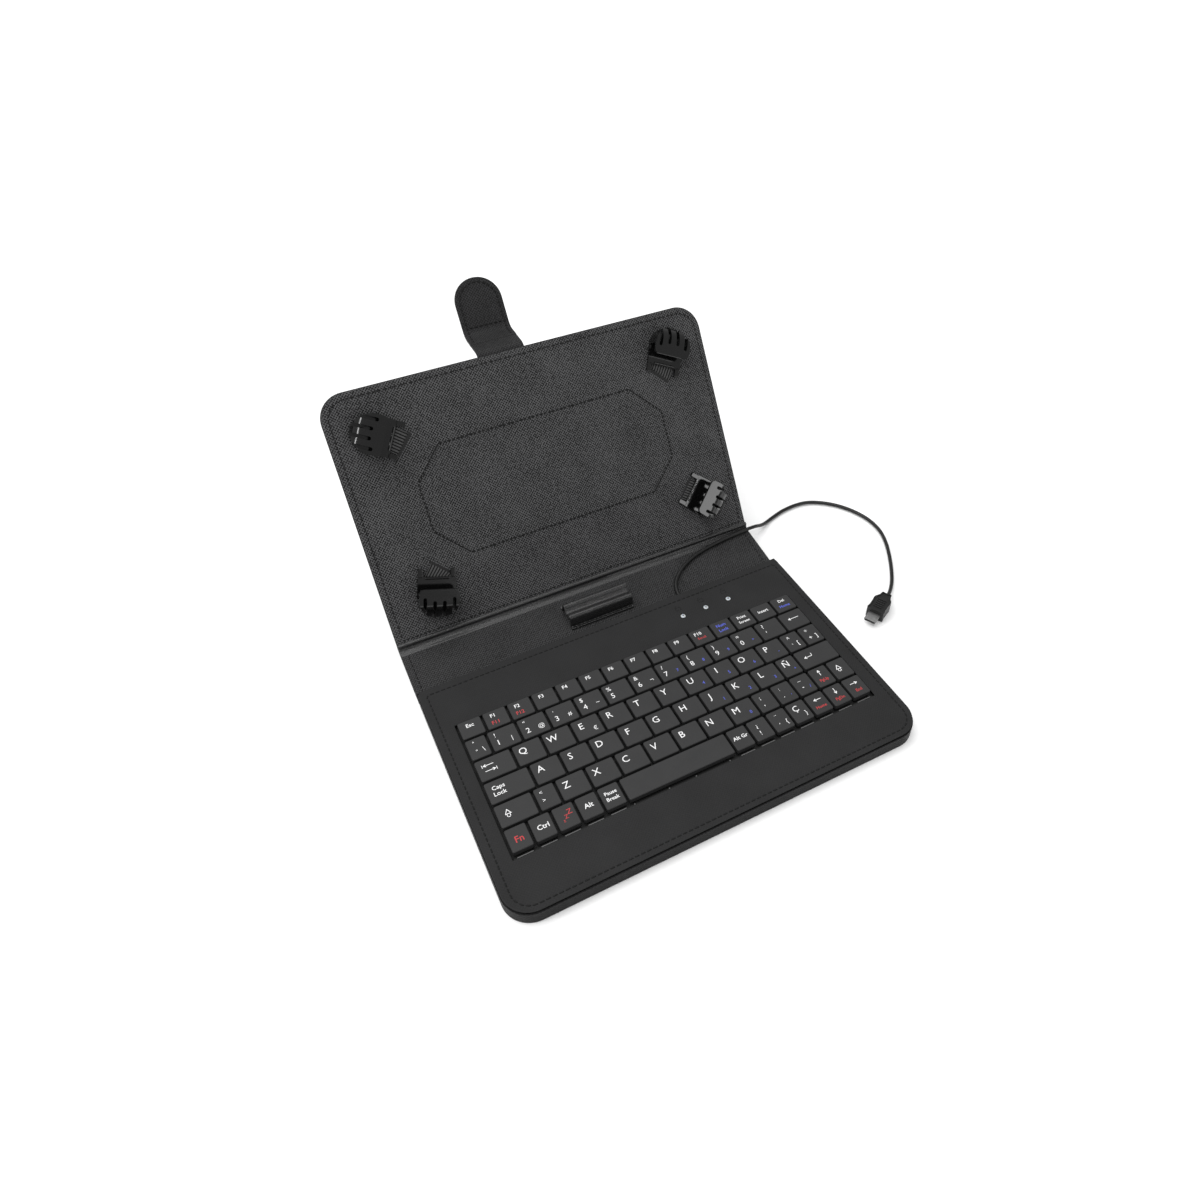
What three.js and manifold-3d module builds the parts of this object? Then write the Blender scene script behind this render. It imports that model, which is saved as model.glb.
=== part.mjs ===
// Tablet keyboard case, standing open: keyboard base, spine strip, cover with four corner claws, rear leg,
// closing strap and a short cord with its plug. Millimetres, +Z up, the user looks along +Y.
import * as THREE from 'three';
import { mergeVertices } from 'three/addons/utils/BufferGeometryUtils.js';
import Module from 'manifold-3d';

const wasm = await Module();
wasm.setup();

// ---- driving dimensions -------------------------------------------------------------------------------------
const GAP = 0.3;                  // between neighbouring pieces
const CASE_WIDTH = 218.4;
const HALF = CASE_WIDTH / 2;
const CORNER = 14;                // outer corners of base and cover
const SKIN = 0.9;                 // sheet thickness of the leatherette
const REACH = 400;                // longer than any piece, for cutting tools

const BASE_FRONT = -67.9;
const BASE_REAR = 68.6;
const LEATHER_TOP = 9.1;
const LEATHER = 0.8;
const BOARD_Z = [1.2, 2.2];       // stiffening board in the base
const TRAY_Z = [2.5, 3.1];        // floor of the keyboard tray
const TRAY_WALL_TOP = 7.4;
const DOME_Z = [3.4, 3.8];
const DECK_Z = [5.4, 6.1];

const FIELD_X = -97.7;            // left edge of the key field
const FIELD_Y = 39.6;             // rear edge of the key field
const KEY_TOP = 10.8;
const KEY_BOTTOM = 7.9;
const KEY_GAP = 1.3;
const F_PITCH = 13.05;            // key width and row depth, gap included
const F_DEPTH = 11.9;
const KEY_PITCH = 15.37;
const ROW_DEPTH = 13.47;
const STEM = 4;
const STEM_BOTTOM = 5.65;
const WINDOW = { left: -98.1, right: 98.5, front: -41.2, rear: 39.9 };

const SPINE_PIVOT = [69.2, 2.5];  // y, z of the fold between base and spine
const COVER_PIVOT = [100.0, 7.35];
const COVER_ANGLE = THREE.MathUtils.degToRad(58.4);
const COVER_LENGTH = 139.3;
const COVER_BOARD = [-2.9, -1.2];
const COVER_SKIN = [-4.1, -3.2];

const LEG_PIVOT = [99, -7.2];     // on the cover: distance from its fold, height over its lining
const LEG_LENGTH = 92;
const LEG_THICK = 2.4;
const PATCH = { long: 72.4, short: 56.1, high: 30.5, low: 13.5, centre: 71.1 };
const SEAM_DEPTH = 0.3;           // the sewn outline of the patch pulls the lining in
const SEAM_HALF = 0.5;

const STRAP_X = -8.3;
const STRAP_WIDTH = 26.6;
const STRAP_THICK = 1.6;
const STRAP_PIVOT = [140.6, -4.9];
const STRAP_KNEE = [151.4, -22.0];
const STRAP_TIP = 30;

const CORD_RADIUS = 1.1;
const PLUG_AT = [150.4, 15.1, 3.9];
const PLUG_HEADING = THREE.MathUtils.degToRad(208);

// ---- shaping helpers ----------------------------------------------------------------------------------------
function box(low, high) {
  const shape = new THREE.BoxGeometry(high[0] - low[0], high[1] - low[1], high[2] - low[2]);
  return shape.translate((low[0] + high[0]) / 2, (low[1] + high[1]) / 2, (low[2] + high[2]) / 2);
}

// Rectangle with its own radius at each corner: front-left, front-right, rear-right, rear-left.
function panel(left, front, right, rear, radii) {
  const [a, b, c, d] = radii;
  const shape = new THREE.Shape();
  shape.moveTo(left + a, front);
  shape.lineTo(right - b, front);
  shape.absarc(right - b, front + b, b, -Math.PI / 2, 0);
  shape.lineTo(right, rear - c);
  shape.absarc(right - c, rear - c, c, 0, Math.PI / 2);
  shape.lineTo(left + d, rear);
  shape.absarc(left + d, rear - d, d, Math.PI / 2, Math.PI);
  shape.lineTo(left, front + a);
  shape.absarc(left + a, front + a, a, Math.PI, 1.5 * Math.PI);
  return shape;
}

function outline(points) {
  return new THREE.Shape(points.map(([x, y]) => new THREE.Vector2(x, y)));
}

function slab(shape, [low, high], curveSegments = 6) {
  const geometry = new THREE.ExtrudeGeometry(shape, { depth: high - low, bevelEnabled: false, curveSegments });
  return geometry.translate(0, 0, low);
}

// A profile drawn in (y, z) and drawn out along x.
function bar(points, [left, right]) {
  const geometry = slab(outline(points), [left, right]);
  const turn = new THREE.Matrix4().makeBasis(
    new THREE.Vector3(0, 1, 0),
    new THREE.Vector3(0, 0, 1),
    new THREE.Vector3(1, 0, 0),
  );
  return geometry.applyMatrix4(turn);
}

function solid(geometry) {
  const plain = geometry.clone();
  plain.deleteAttribute('normal');
  plain.deleteAttribute('uv');
  const merged = mergeVertices(plain, 1e-4);
  return new wasm.Manifold(new wasm.Mesh({
    numProp: 3,
    vertProperties: new Float32Array(merged.attributes.position.array),
    triVerts: new Uint32Array(merged.index.array),
  }));
}

function geometryOf(body) {
  const mesh = body.getMesh();
  const geometry = new THREE.BufferGeometry();
  geometry.setAttribute('position', new THREE.BufferAttribute(new Float32Array(mesh.vertProperties), 3));
  geometry.setIndex(new THREE.BufferAttribute(new Uint32Array(mesh.triVerts), 1));
  geometry.computeVertexNormals();
  return geometry;
}

function cut(geometry, tools) {
  return geometryOf(tools.reduce((body, tool) => body.subtract(solid(tool)), solid(geometry)));
}

function join(pieces) {
  return geometryOf(pieces.map(solid).reduce((body, piece) => body.add(piece)));
}

function common(a, b) {
  return geometryOf(solid(a).intersect(solid(b)));
}

function material(color, roughness, metalness = 0) {
  return new THREE.MeshStandardMaterial({ color, roughness, metalness });
}

const LOOKS = {
  leatherSmooth: material(0x36363a, 0.62),
  leatherGrain: material(0x2e2e31, 0.6),
  leatherOuter: material(0x29292c, 0.58),
  board: material(0x8c8478, 0.95),
  foam: material(0x4a4a4c, 0.95),
  key: material(0x38383b, 0.55),
  blackPlastic: material(0x141416, 0.5),
  glossPlastic: material(0x121214, 0.16),
  rubber: material(0x1b1b1d, 0.8),
  silicone: material(0xc9c9c4, 0.6),
  circuit: material(0x1e5b3a, 0.5),
  lens: material(0xe8e8e6, 0.25),
  steel: material(0xb9bbbe, 0.3, 1),
  elastic: material(0x1a1a1b, 0.9),
};

const part = new THREE.Group();

function place(parent, name, geometry, look) {
  const mesh = new THREE.Mesh(geometry, look.clone());
  mesh.name = name;
  parent.add(mesh);
}

// A group hinged about x at (y, z) and turned by an angle: its y runs along the panel, its z off the inner face.
function hingedGroup(parent, [y, z], angle) {
  const group = new THREE.Group();
  group.position.set(0, y, z);
  group.rotation.x = angle;
  parent.add(group);
  return group;
}

// ---- base: skin, board, frame, leather ----------------------------------------------------------------------
const RADII_BASE = [CORNER, CORNER, 2.5, 2.5];
const CABLE_X = 45.6;
const CABLE_Z = 4.6;
const PCB = { left: 28, right: 78, front: 46.5, rear: 61.5 };
const LED_X = [38.1, 52.6, 67.1];
const LED_Y = 52.5;
const LED_RADIUS = 1.6;

function basePanel(inset) {
  return panel(
    -HALF + inset,
    BASE_FRONT + inset,
    HALF - inset,
    BASE_REAR - inset,
    RADII_BASE.map((radius) => Math.max(radius - inset, 1)),
  );
}

function buildBaseShell(parent) {
  const wallTop = LEATHER_TOP - LEATHER - GAP;
  const cableHole = box([CABLE_X - 3.6, BASE_REAR - 3, CABLE_Z - 2.5], [CABLE_X + 3.6, BASE_REAR + 1, CABLE_Z + 2.5]);
  const skin = cut(slab(basePanel(0), [0, wallTop]), [slab(basePanel(1), [SKIN, REACH]), cableHole]);
  place(parent, 'base_outer_skin', skin, LOOKS.leatherOuter);

  const inner = basePanel(1 + GAP);
  const keeper = { low: [STRAP_X - 13, -62.5], high: [STRAP_X + 13, -51.5] };
  const keeperPocket = box([keeper.low[0] - GAP, keeper.low[1] - GAP, 0], [keeper.high[0] + GAP, keeper.high[1] + GAP, 3]);
  place(parent, 'base_board', cut(slab(inner, BOARD_Z), [keeperPocket]), LOOKS.board);
  place(parent, 'strap_keeper', box([...keeper.low, BOARD_Z[0]], [...keeper.high, BOARD_Z[1]]), LOOKS.steel);

  const trayRoom = box([-101.3, -43.7, 0], [101.3, 42.9, 20]);
  const pcbRoom = box([PCB.left - 1, PCB.front - 1, 0], [PCB.right + 1, PCB.rear + 1, 20]);
  const cableRoom = box([CABLE_X - 3.6, PCB.rear, 0], [CABLE_X + 3.6, BASE_REAR + 2, 20]);
  const wireRoom = box([60, 42, 0], [70, 47, 20]);
  const frame = cut(slab(inner, [TRAY_Z[0], wallTop]), [trayRoom, pcbRoom, cableRoom, wireRoom]);
  place(parent, 'base_frame', frame, LOOKS.foam);

  const window = box([WINDOW.left, WINDOW.front, 0], [WINDOW.right, WINDOW.rear, 20]);
  const ledHoles = LED_X.map((x) => {
    const hole = new THREE.CylinderGeometry(LED_RADIUS + GAP, LED_RADIUS + GAP, 10, 12);
    return hole.rotateX(Math.PI / 2).translate(x, LED_Y, LEATHER_TOP);
  });
  const leather = cut(slab(basePanel(0), [LEATHER_TOP - LEATHER, LEATHER_TOP]), [window, ...ledHoles]);
  place(parent, 'base_top_leather', leather, LOOKS.leatherSmooth);
}

// ---- keyboard: tray, domes, deck, circuit board, indicator lenses -------------------------------------------
const ROWS = [
  { depth: F_DEPTH, widths: Array(15).fill(F_PITCH) },
  { depth: ROW_DEPTH, widths: [11.3, ...Array(12).fill(KEY_PITCH)] },
  { depth: ROW_DEPTH, widths: [19.1, ...Array(10).fill(KEY_PITCH), 11.47, 11.47] },
  { depth: ROW_DEPTH, widths: [22.95, ...Array(9).fill(KEY_PITCH), 11.5, 22.97] },
  { depth: ROW_DEPTH, widths: [19.3, 11.2, ...Array(7).fill(KEY_PITCH), ...Array(5).fill(11.53)] },
  { depth: ROW_DEPTH, widths: [...Array(5).fill(11.45), 58, ...Array(7).fill(11.5)] },
];

// One entry for each key: its four edges, gap taken off.
function layOutKeys() {
  let rear = FIELD_Y;
  return ROWS.map(({ depth, widths }) => {
    let left = FIELD_X;
    const keys = widths.map((width) => {
      const key = {
        left: left + KEY_GAP / 2,
        right: left + width - KEY_GAP / 2,
        front: rear - depth + KEY_GAP / 2,
        rear: rear - KEY_GAP / 2,
      };
      key.x = (key.left + key.right) / 2;
      key.y = (key.front + key.rear) / 2;
      left += width;
      return key;
    });
    rear -= depth;
    return keys;
  });
}

const KEYS = layOutKeys();

function buildKeyboardInside(parent) {
  const wall = 1.2;
  const trayLow = [-101, -43.4];
  const trayHigh = [101, 42.6];
  const tray = cut(box([...trayLow, TRAY_Z[0]], [...trayHigh, TRAY_WALL_TOP]), [
    box([trayLow[0] + wall, trayLow[1] + wall, TRAY_Z[1]], [trayHigh[0] - wall, trayHigh[1] - wall, 20]),
    box([62, 40, TRAY_Z[1]], [68, 50, 20]),
  ]);
  place(parent, 'keyboard_tray', tray, LOOKS.blackPlastic);

  const inset = wall + GAP;
  const low = trayLow.map((edge) => edge + inset);
  const high = trayHigh.map((edge) => edge - inset);
  // The domes of this sheet collapse under the keys, so it is drawn at its flat height.
  place(parent, 'dome_sheet', box([...low, DOME_Z[0]], [...high, DOME_Z[1]]), LOOKS.silicone);

  const deck = box([...low, DECK_Z[0]], [...high, DECK_Z[1]]);
  const room = STEM / 2 + GAP;
  const stemHoles = KEYS.flat().map((key) => box([key.x - room, key.y - room, 0], [key.x + room, key.y + room, 20]));
  place(parent, 'key_deck', cut(deck, stemHoles), LOOKS.blackPlastic);

  place(parent, 'controller_board', box([PCB.left, PCB.front, 3.4], [PCB.right, PCB.rear, 4.6]), LOOKS.circuit);
  ['num', 'caps', 'scroll'].forEach((name, i) => {
    const lens = new THREE.CylinderGeometry(LED_RADIUS, LED_RADIUS, 4.6, 12);
    lens.rotateX(Math.PI / 2).translate(LED_X[i], LED_Y, LEATHER_TOP + 0.2 - 2.3);
    place(parent, `led_lens_${name}`, lens, LOOKS.lens);
  });
}

// ---- keys: single keys, and runs of neighbours joined by a thin rib under their caps ------------------------
const KEY_NODES = [
  ['key_esc', 0, 0, 0],
  ['keys_function_row', 0, 1, 14],
  ['keys_number_row', 1, 0, 11],
  ['key_backspace', 1, 12, 12],
  ['key_tab', 2, 0, 0],
  ['keys_upper_letters', 2, 1, 12],
  ['key_caps_lock', 3, 0, 0],
  ['keys_home_letters', 3, 1, 10],
  ['key_enter', 3, 11, 11],
  ['key_shift_left', 4, 0, 0],
  ['keys_lower_letters', 4, 1, 11],
  ['key_up', 4, 12, 12],
  ['key_shift_right', 4, 13, 13],
  ['key_fn', 5, 0, 0],
  ['keys_control_group', 5, 1, 4],
  ['key_space', 5, 5, 5],
  ['keys_symbol_group', 5, 6, 9],
  ['key_left', 5, 10, 10],
  ['key_down', 5, 11, 11],
  ['key_right', 5, 12, 12],
];

function keySolid(key) {
  const cap = box([key.left, key.front, KEY_BOTTOM], [key.right, key.rear, KEY_TOP]);
  const half = STEM / 2;
  const stem = box([key.x - half, key.y - half, STEM_BOTTOM], [key.x + half, key.y + half, KEY_BOTTOM + 1]);
  return [cap, stem];
}

function buildKeys(parent) {
  for (const [name, row, first, last] of KEY_NODES) {
    const keys = KEYS[row].slice(first, last + 1);
    const pieces = keys.flatMap(keySolid);
    if (keys.length > 1) {
      const start = keys[0];
      const end = keys[keys.length - 1];
      pieces.push(box([start.x, start.y - 1, KEY_BOTTOM + 0.2], [end.x, start.y + 1, KEY_BOTTOM + 0.8]));
    }
    place(parent, name, join(pieces), LOOKS.key);
  }
}

// ---- cord: gland in the rear wall, the run over the spine and the table, the plug ---------------------------
const CORD_ROUTE = [
  [45.6, 69.5, 4.6], [45.9, 72.6, 4.8], [46.6, 76.0, 5.15], [48.4, 80.2, 5.75], [52.0, 84.4, 6.4],
  [58.0, 88.9, 7.2], [66.0, 92.7, 7.8], [75.0, 95.2, 8.25], [85.0, 96.8, 8.5], [95.0, 97.8, 8.65],
  [104.5, 98.3, 8.75], [110.5, 98.8, 8.6], [115.8, 100.2, 6.9], [121.2, 102.4, 3.9], [127.0, 105.2, 1.8],
  [133.5, 107.8, 1.25], [142.5, 110.3, 1.25], [152.5, 111.2, 1.25], [161.0, 110.0, 1.25], [168.8, 105.8, 1.25],
  [176.3, 98.8, 1.25], [182.4, 89.2, 1.25], [186.0, 78.0, 1.25], [186.0, 66.5, 1.25], [182.6, 55.8, 1.25],
  [177.2, 45.4, 1.25], [170.8, 35.2, 1.25], [164.2, 26.4, 1.4], [158.2, 20.4, 2.3], [154.0, 17.1, 3.4],
  [151.1, 15.5, 3.9],
];
const CORD_STEPS = 56;

function buildCord(parent) {
  const grip = box([CABLE_X - 3.2, BASE_REAR - 7, CABLE_Z - 2], [CABLE_X + 3.2, BASE_REAR + 0.5, CABLE_Z + 2]);
  place(parent, 'cord_gland', grip, LOOKS.rubber);

  const path = new THREE.CatmullRomCurve3(CORD_ROUTE.map((point) => new THREE.Vector3(...point)));
  const section = outline(Array.from({ length: 8 }, (_, i) => {
    const angle = (i / 8) * 2 * Math.PI;
    return [CORD_RADIUS * Math.cos(angle), CORD_RADIUS * Math.sin(angle)];
  }));
  const cord = new THREE.ExtrudeGeometry(section, { steps: CORD_STEPS, extrudePath: path });
  place(parent, 'cord', cord, LOOKS.rubber);

  const plug = new THREE.Group();
  plug.position.set(...PLUG_AT);
  plug.rotation.z = PLUG_HEADING;
  parent.add(plug);
  const body = outline([
    [0, -2.6], [2.2, -2.6], [4.2, -4.4], [5, -5.2], [12.2, -5.2], [15.2, -4.2],
    [15.2, 4.2], [12.2, 5.2], [5, 5.2], [4.2, 4.4], [2.2, 2.6], [0, 2.6],
  ]);
  place(plug, 'plug_body', slab(body, [-3.6, 3.6]), LOOKS.rubber);
  const shell = cut(box([15.5, -3.42, -0.9], [21.8, 3.42, 0.9]), [box([16.3, -3.12, -0.6], [30, 3.12, 0.6])]);
  place(plug, 'plug_shell', shell, LOOKS.steel);
}

// ---- spine: skin, board, lining and the pen loop ------------------------------------------------------------
const SPINE_RUN = COVER_PIVOT[0] - SPINE_PIVOT[0];
const SPINE_RISE = COVER_PIVOT[1] - SPINE_PIVOT[1];
const SPINE_LENGTH = Math.hypot(SPINE_RUN, SPINE_RISE);
const SPINE_ANGLE = Math.atan2(SPINE_RISE, SPINE_RUN);
const SPINE_START = 2.6;
const LOOP_WIDTH = 38.4;

function buildSpine(parent) {
  const spine = hingedGroup(parent, SPINE_PIVOT, SPINE_ANGLE);
  const end = SPINE_LENGTH - 0.8;
  place(spine, 'spine_outer_skin', box([-HALF, SPINE_START, -2.9], [HALF, end, -2.2]), LOOKS.leatherOuter);
  place(spine, 'spine_board', box([-HALF + 3, SPINE_START + 1, -1.9], [HALF - 3, end - 1, -1]), LOOKS.board);
  place(spine, 'spine_lining', box([-HALF, SPINE_START, -0.7], [HALF, end, 0]), LOOKS.leatherGrain);

  const underside = [
    [6.8, GAP], [8.8, GAP], [9.4, 3.2], [10.2, 6.2], [11.6, 7.2], [13.2, 6.9], [15.2, 6.2], [17.2, 6.4],
    [18.6, 7.2], [20, 6.4], [20.7, 3.2], [21.4, GAP], [24, GAP],
  ];
  const topside = [
    [24, 1.4], [22.3, 1.4], [21.8, 3.4], [21, 7.1], [18.8, 8.3], [17, 7.6], [15.2, 7.4], [13.4, 8.1],
    [11.4, 8.4], [9.2, 7.1], [8.3, 3.4], [7.9, 1.4], [6.8, 1.4],
  ];
  place(spine, 'pen_loop', bar([...underside, ...topside], [-LOOP_WIDTH / 2, LOOP_WIDTH / 2]), LOOKS.leatherGrain);
}

// ---- cover: skin, board, lining, the patch for the leg and the root of the strap ----------------------------
function coverPanel(inset, start) {
  const radius = CORNER - inset;
  return panel(-HALF + inset, start, HALF - inset, COVER_LENGTH - inset, [1, 1, radius, radius]);
}

// Claw angles are measured on the cover from +x; "at" is the middle of the claw's inner edge.
const CLAWS = [
  { name: 'top_left', at: [-77.9, 110.0], angle: 150, slot: [-73.3, 106.0], slotAngle: 137 },
  { name: 'top_right', at: [79.6, 108.8], angle: 64, slot: [76.5, 104.6], slotAngle: 43 },
  { name: 'bottom_left', at: [-78.3, 34.2], angle: -107, slot: [-74.3, 37.3], slotAngle: -137 },
  { name: 'bottom_right', at: [78.2, 34.6], angle: -43, slot: [75.9, 36.3], slotAngle: -43 },
];
const CLAW_WIDTH = 19.6;
const CLAW_REACH = 22;
const CLAW_TOP = 11.6;
const CLAW_FLOOR = [0.4, 2.4];
const EAR_BOTTOM = 1.5;          // the ears of a claw pass over its elastic band
const CLAW_WALL = 1.8;
const CLAW_LIP = 5.4;
const BAND_HALF = 6.4;
const BAND_Z = [0.3, 1.2];

function turned(geometry, [x, y], degrees) {
  return geometry.rotateZ(THREE.MathUtils.degToRad(degrees)).translate(x, y, 0);
}

// Plan of a claw, x pointing out to the corner: straight sides, then half an ellipse.
function clawPlan(inset, inner) {
  const half = CLAW_WIDTH / 2 + 0.8 - inset;
  const start = 11;
  const shape = new THREE.Shape();
  shape.moveTo(inner, -(CLAW_WIDTH / 2 - inset));
  shape.lineTo(start, -half);
  shape.absellipse(start, 0, CLAW_REACH - start - inset, half, -Math.PI / 2, Math.PI / 2);
  shape.lineTo(inner, CLAW_WIDTH / 2 - inset);
  return shape;
}

function clawGeometry() {
  const round = 7;
  const side = [[-10, 0], [CLAW_REACH, 0]];
  for (let i = 0; i <= 4; i += 1) {
    const angle = (i / 4) * (Math.PI / 2);
    side.push([CLAW_REACH - round + round * Math.cos(angle), CLAW_TOP - round + round * Math.sin(angle)]);
  }
  side.push([-10, CLAW_TOP]);
  // The side view is drawn in (y, z), so it is turned to lie along x.
  const sideBar = bar(side, [-REACH, REACH]).rotateZ(-Math.PI / 2);
  const hull = common(slab(clawPlan(0, -3.5), [CLAW_FLOOR[0], CLAW_TOP]), sideBar);

  const hollowPlan = new THREE.Shape();
  hollowPlan.moveTo(-10, -15);
  hollowPlan.lineTo(11, -15);
  hollowPlan.lineTo(11, -8.6);
  hollowPlan.absellipse(11, 0, CLAW_REACH - 11 - CLAW_WALL, 8.6, -Math.PI / 2, Math.PI / 2);
  hollowPlan.lineTo(11, 15);
  hollowPlan.lineTo(-10, 15);
  const tools = [
    slab(hollowPlan, [CLAW_FLOOR[1], CLAW_TOP - CLAW_WALL]),
    box([-20, -15, CLAW_FLOOR[1]], [CLAW_LIP, 15, 20]),
    box([-20, -BAND_HALF - GAP, -1], [0, BAND_HALF + GAP, 20]),
    box([-20, -15, -1], [0, 15, EAR_BOTTOM]),
  ];
  for (const y of [-7.65, -2.55, 2.55, 7.65]) {
    const start = Math.abs(y) < 5 ? 11.6 : 9.8;
    tools.push(box([start, y - 0.95, CLAW_FLOOR[1] + 0.8], [30, y + 0.95, 20]));
  }
  return cut(hull, tools);
}

function corner([x, y], degrees, along, across) {
  const angle = THREE.MathUtils.degToRad(degrees);
  return [
    x + along * Math.cos(angle) - across * Math.sin(angle),
    y + along * Math.sin(angle) + across * Math.cos(angle),
  ];
}

function bandGeometry({ at, angle, slot, slotAngle }) {
  const flat = outline([
    corner(slot, slotAngle, -0.45, -BAND_HALF),
    corner(at, angle, -GAP, -BAND_HALF + 0.2),
    corner(at, angle, -GAP, BAND_HALF - 0.2),
    corner(slot, slotAngle, -0.45, BAND_HALF),
  ]);
  const tab = turned(box([-0.45, -BAND_HALF, -1], [0.45, BAND_HALF, BAND_Z[1]]), slot, slotAngle);
  return join([slab(flat, BAND_Z), tab]);
}

function octagon(grow) {
  const { long, short, high, low, centre } = PATCH;
  const quarter = [[long + grow, low], [short, high + grow]];
  const right = [...quarter.map(([x, y]) => [x, -y]).reverse(), ...quarter];
  const left = right.map(([x, y]) => [-x, -y]);
  return outline([...right, ...left].map(([x, y]) => [x, y + centre]));
}

function buildCover(parent) {
  const cover = hingedGroup(parent, COVER_PIVOT, COVER_ANGLE);
  place(cover, 'cover_outer_skin', slab(coverPanel(0, 0.8), COVER_SKIN), LOOKS.leatherOuter);
  place(cover, 'cover_board', slab(coverPanel(2.4, 2.6), COVER_BOARD), LOOKS.board);
  const slots = CLAWS.map(({ slot, slotAngle }) => turned(box([-0.9, -7, -2], [0.9, 7, 1]), slot, slotAngle));
  const seam = cut(slab(octagon(SEAM_HALF), [-SEAM_DEPTH, 1]), [slab(octagon(-SEAM_HALF), [-1, 2])]);
  place(cover, 'cover_lining', cut(slab(coverPanel(0, 0.8), [-SKIN, 0]), [...slots, seam]), LOOKS.leatherGrain);

  place(cover, 'kickstand_patch', slab(octagon(2.5), [-5.6, -4.4]), LOOKS.leatherOuter);
  const strapHalf = STRAP_WIDTH / 2;
  const anchor = box([STRAP_X - strapHalf, 116, -5.9], [STRAP_X + strapHalf, STRAP_PIVOT[0] - 1.2, -4.4]);
  place(cover, 'strap_anchor', anchor, LOOKS.leatherOuter);

  for (const claw of CLAWS) {
    place(cover, `claw_${claw.name}`, turned(clawGeometry(), claw.at, claw.angle), LOOKS.glossPlastic);
    place(cover, `elastic_${claw.name}`, bandGeometry(claw), LOOKS.elastic);
  }
  return cover;
}

// ---- rear leg: a leatherette sleeve over a board, with a magnet at its foot ---------------------------------
function legPanel(inset, start, end) {
  const top = 52 - inset;
  const foot = 41 - inset;
  return outline([[-top, start], [top, start], [foot, end], [-foot, end]]);
}

function legAngle() {
  const [along, off] = LEG_PIVOT;
  const height = COVER_PIVOT[1] + along * Math.sin(COVER_ANGLE) + off * Math.cos(COVER_ANGLE);
  const footClearance = 0.4;
  return -Math.asin((height - footClearance) / LEG_LENGTH);
}

function buildLeg(cover) {
  const leg = hingedGroup(cover, LEG_PIVOT, legAngle() - COVER_ANGLE);
  const half = LEG_THICK / 2;
  const pocket = slab(legPanel(1.2, 3, LEG_LENGTH + 5), [-half + 0.6, half - 0.6]);
  const sleeve = cut(slab(legPanel(0, 0.6, LEG_LENGTH), [-half, half]), [pocket]);
  place(leg, 'kickstand_sleeve', sleeve, LOOKS.leatherOuter);
  const magnet = { low: [-8, LEG_LENGTH - 16], high: [8, LEG_LENGTH - 8] };
  const magnetRoom = box([magnet.low[0] - GAP, magnet.low[1] - GAP, -5], [magnet.high[0] + GAP, magnet.high[1] + GAP, 5]);
  const board = cut(slab(legPanel(1.8, 3.6, LEG_LENGTH - 1), [-half + 0.8, half - 0.8]), [magnetRoom]);
  place(leg, 'kickstand_board', board, LOOKS.board);
  place(leg, 'kickstand_magnet', box([...magnet.low, -0.4], [...magnet.high, 0.4]), LOOKS.steel);
}

// ---- closing strap: a soft root and a tip that holds a magnet -----------------------------------------------
function buildStrap(cover) {
  const run = STRAP_KNEE[0] - STRAP_PIVOT[0];
  const drop = STRAP_KNEE[1] - STRAP_PIVOT[1];
  const rootLength = Math.hypot(run, drop);
  const half = STRAP_WIDTH / 2;
  const thick = STRAP_THICK / 2;
  const root = hingedGroup(cover, STRAP_PIVOT, Math.atan2(drop, run));
  place(root, 'strap_root', box([STRAP_X - half, 1, -thick], [STRAP_X + half, rootLength - 1, thick]), LOOKS.leatherOuter);

  const tip = hingedGroup(cover, STRAP_KNEE, 0);
  const shape = panel(STRAP_X - half, 1, STRAP_X + half, STRAP_TIP, [1, 1, half - 0.3, half - 0.3]);
  const pocket = box([STRAP_X - 8.4, -5, -0.5], [STRAP_X + 8.4, 17, 0.5]);
  place(tip, 'strap_tip', cut(slab(shape, [-thick, thick]), [pocket]), LOOKS.leatherOuter);
  place(tip, 'strap_magnet', box([STRAP_X - 8, 4, -0.25], [STRAP_X + 8, 16.6, 0.25]), LOOKS.steel);
}

// ---- the whole case, with its origin under the middle of the space it stands in -----------------------------
const tipHeight = STRAP_KNEE[1] + -STRAP_THICK / 2;
const STRAP_TOP = STRAP_KNEE[0] + STRAP_TIP;
const REAR_MOST = COVER_PIVOT[0] + STRAP_TOP * Math.cos(COVER_ANGLE) - tipHeight * Math.sin(COVER_ANGLE);
const stand = new THREE.Group();
stand.position.y = -(BASE_FRONT + REAR_MOST) / 2;
part.add(stand);
buildBaseShell(stand);
buildKeyboardInside(stand);
buildKeys(stand);
buildCord(stand);
buildSpine(stand);
const coverGroup = buildCover(stand);
buildLeg(coverGroup);
buildStrap(coverGroup);

export default part;
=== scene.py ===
import math

import bmesh
import bpy
from mathutils import Matrix, Vector


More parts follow.
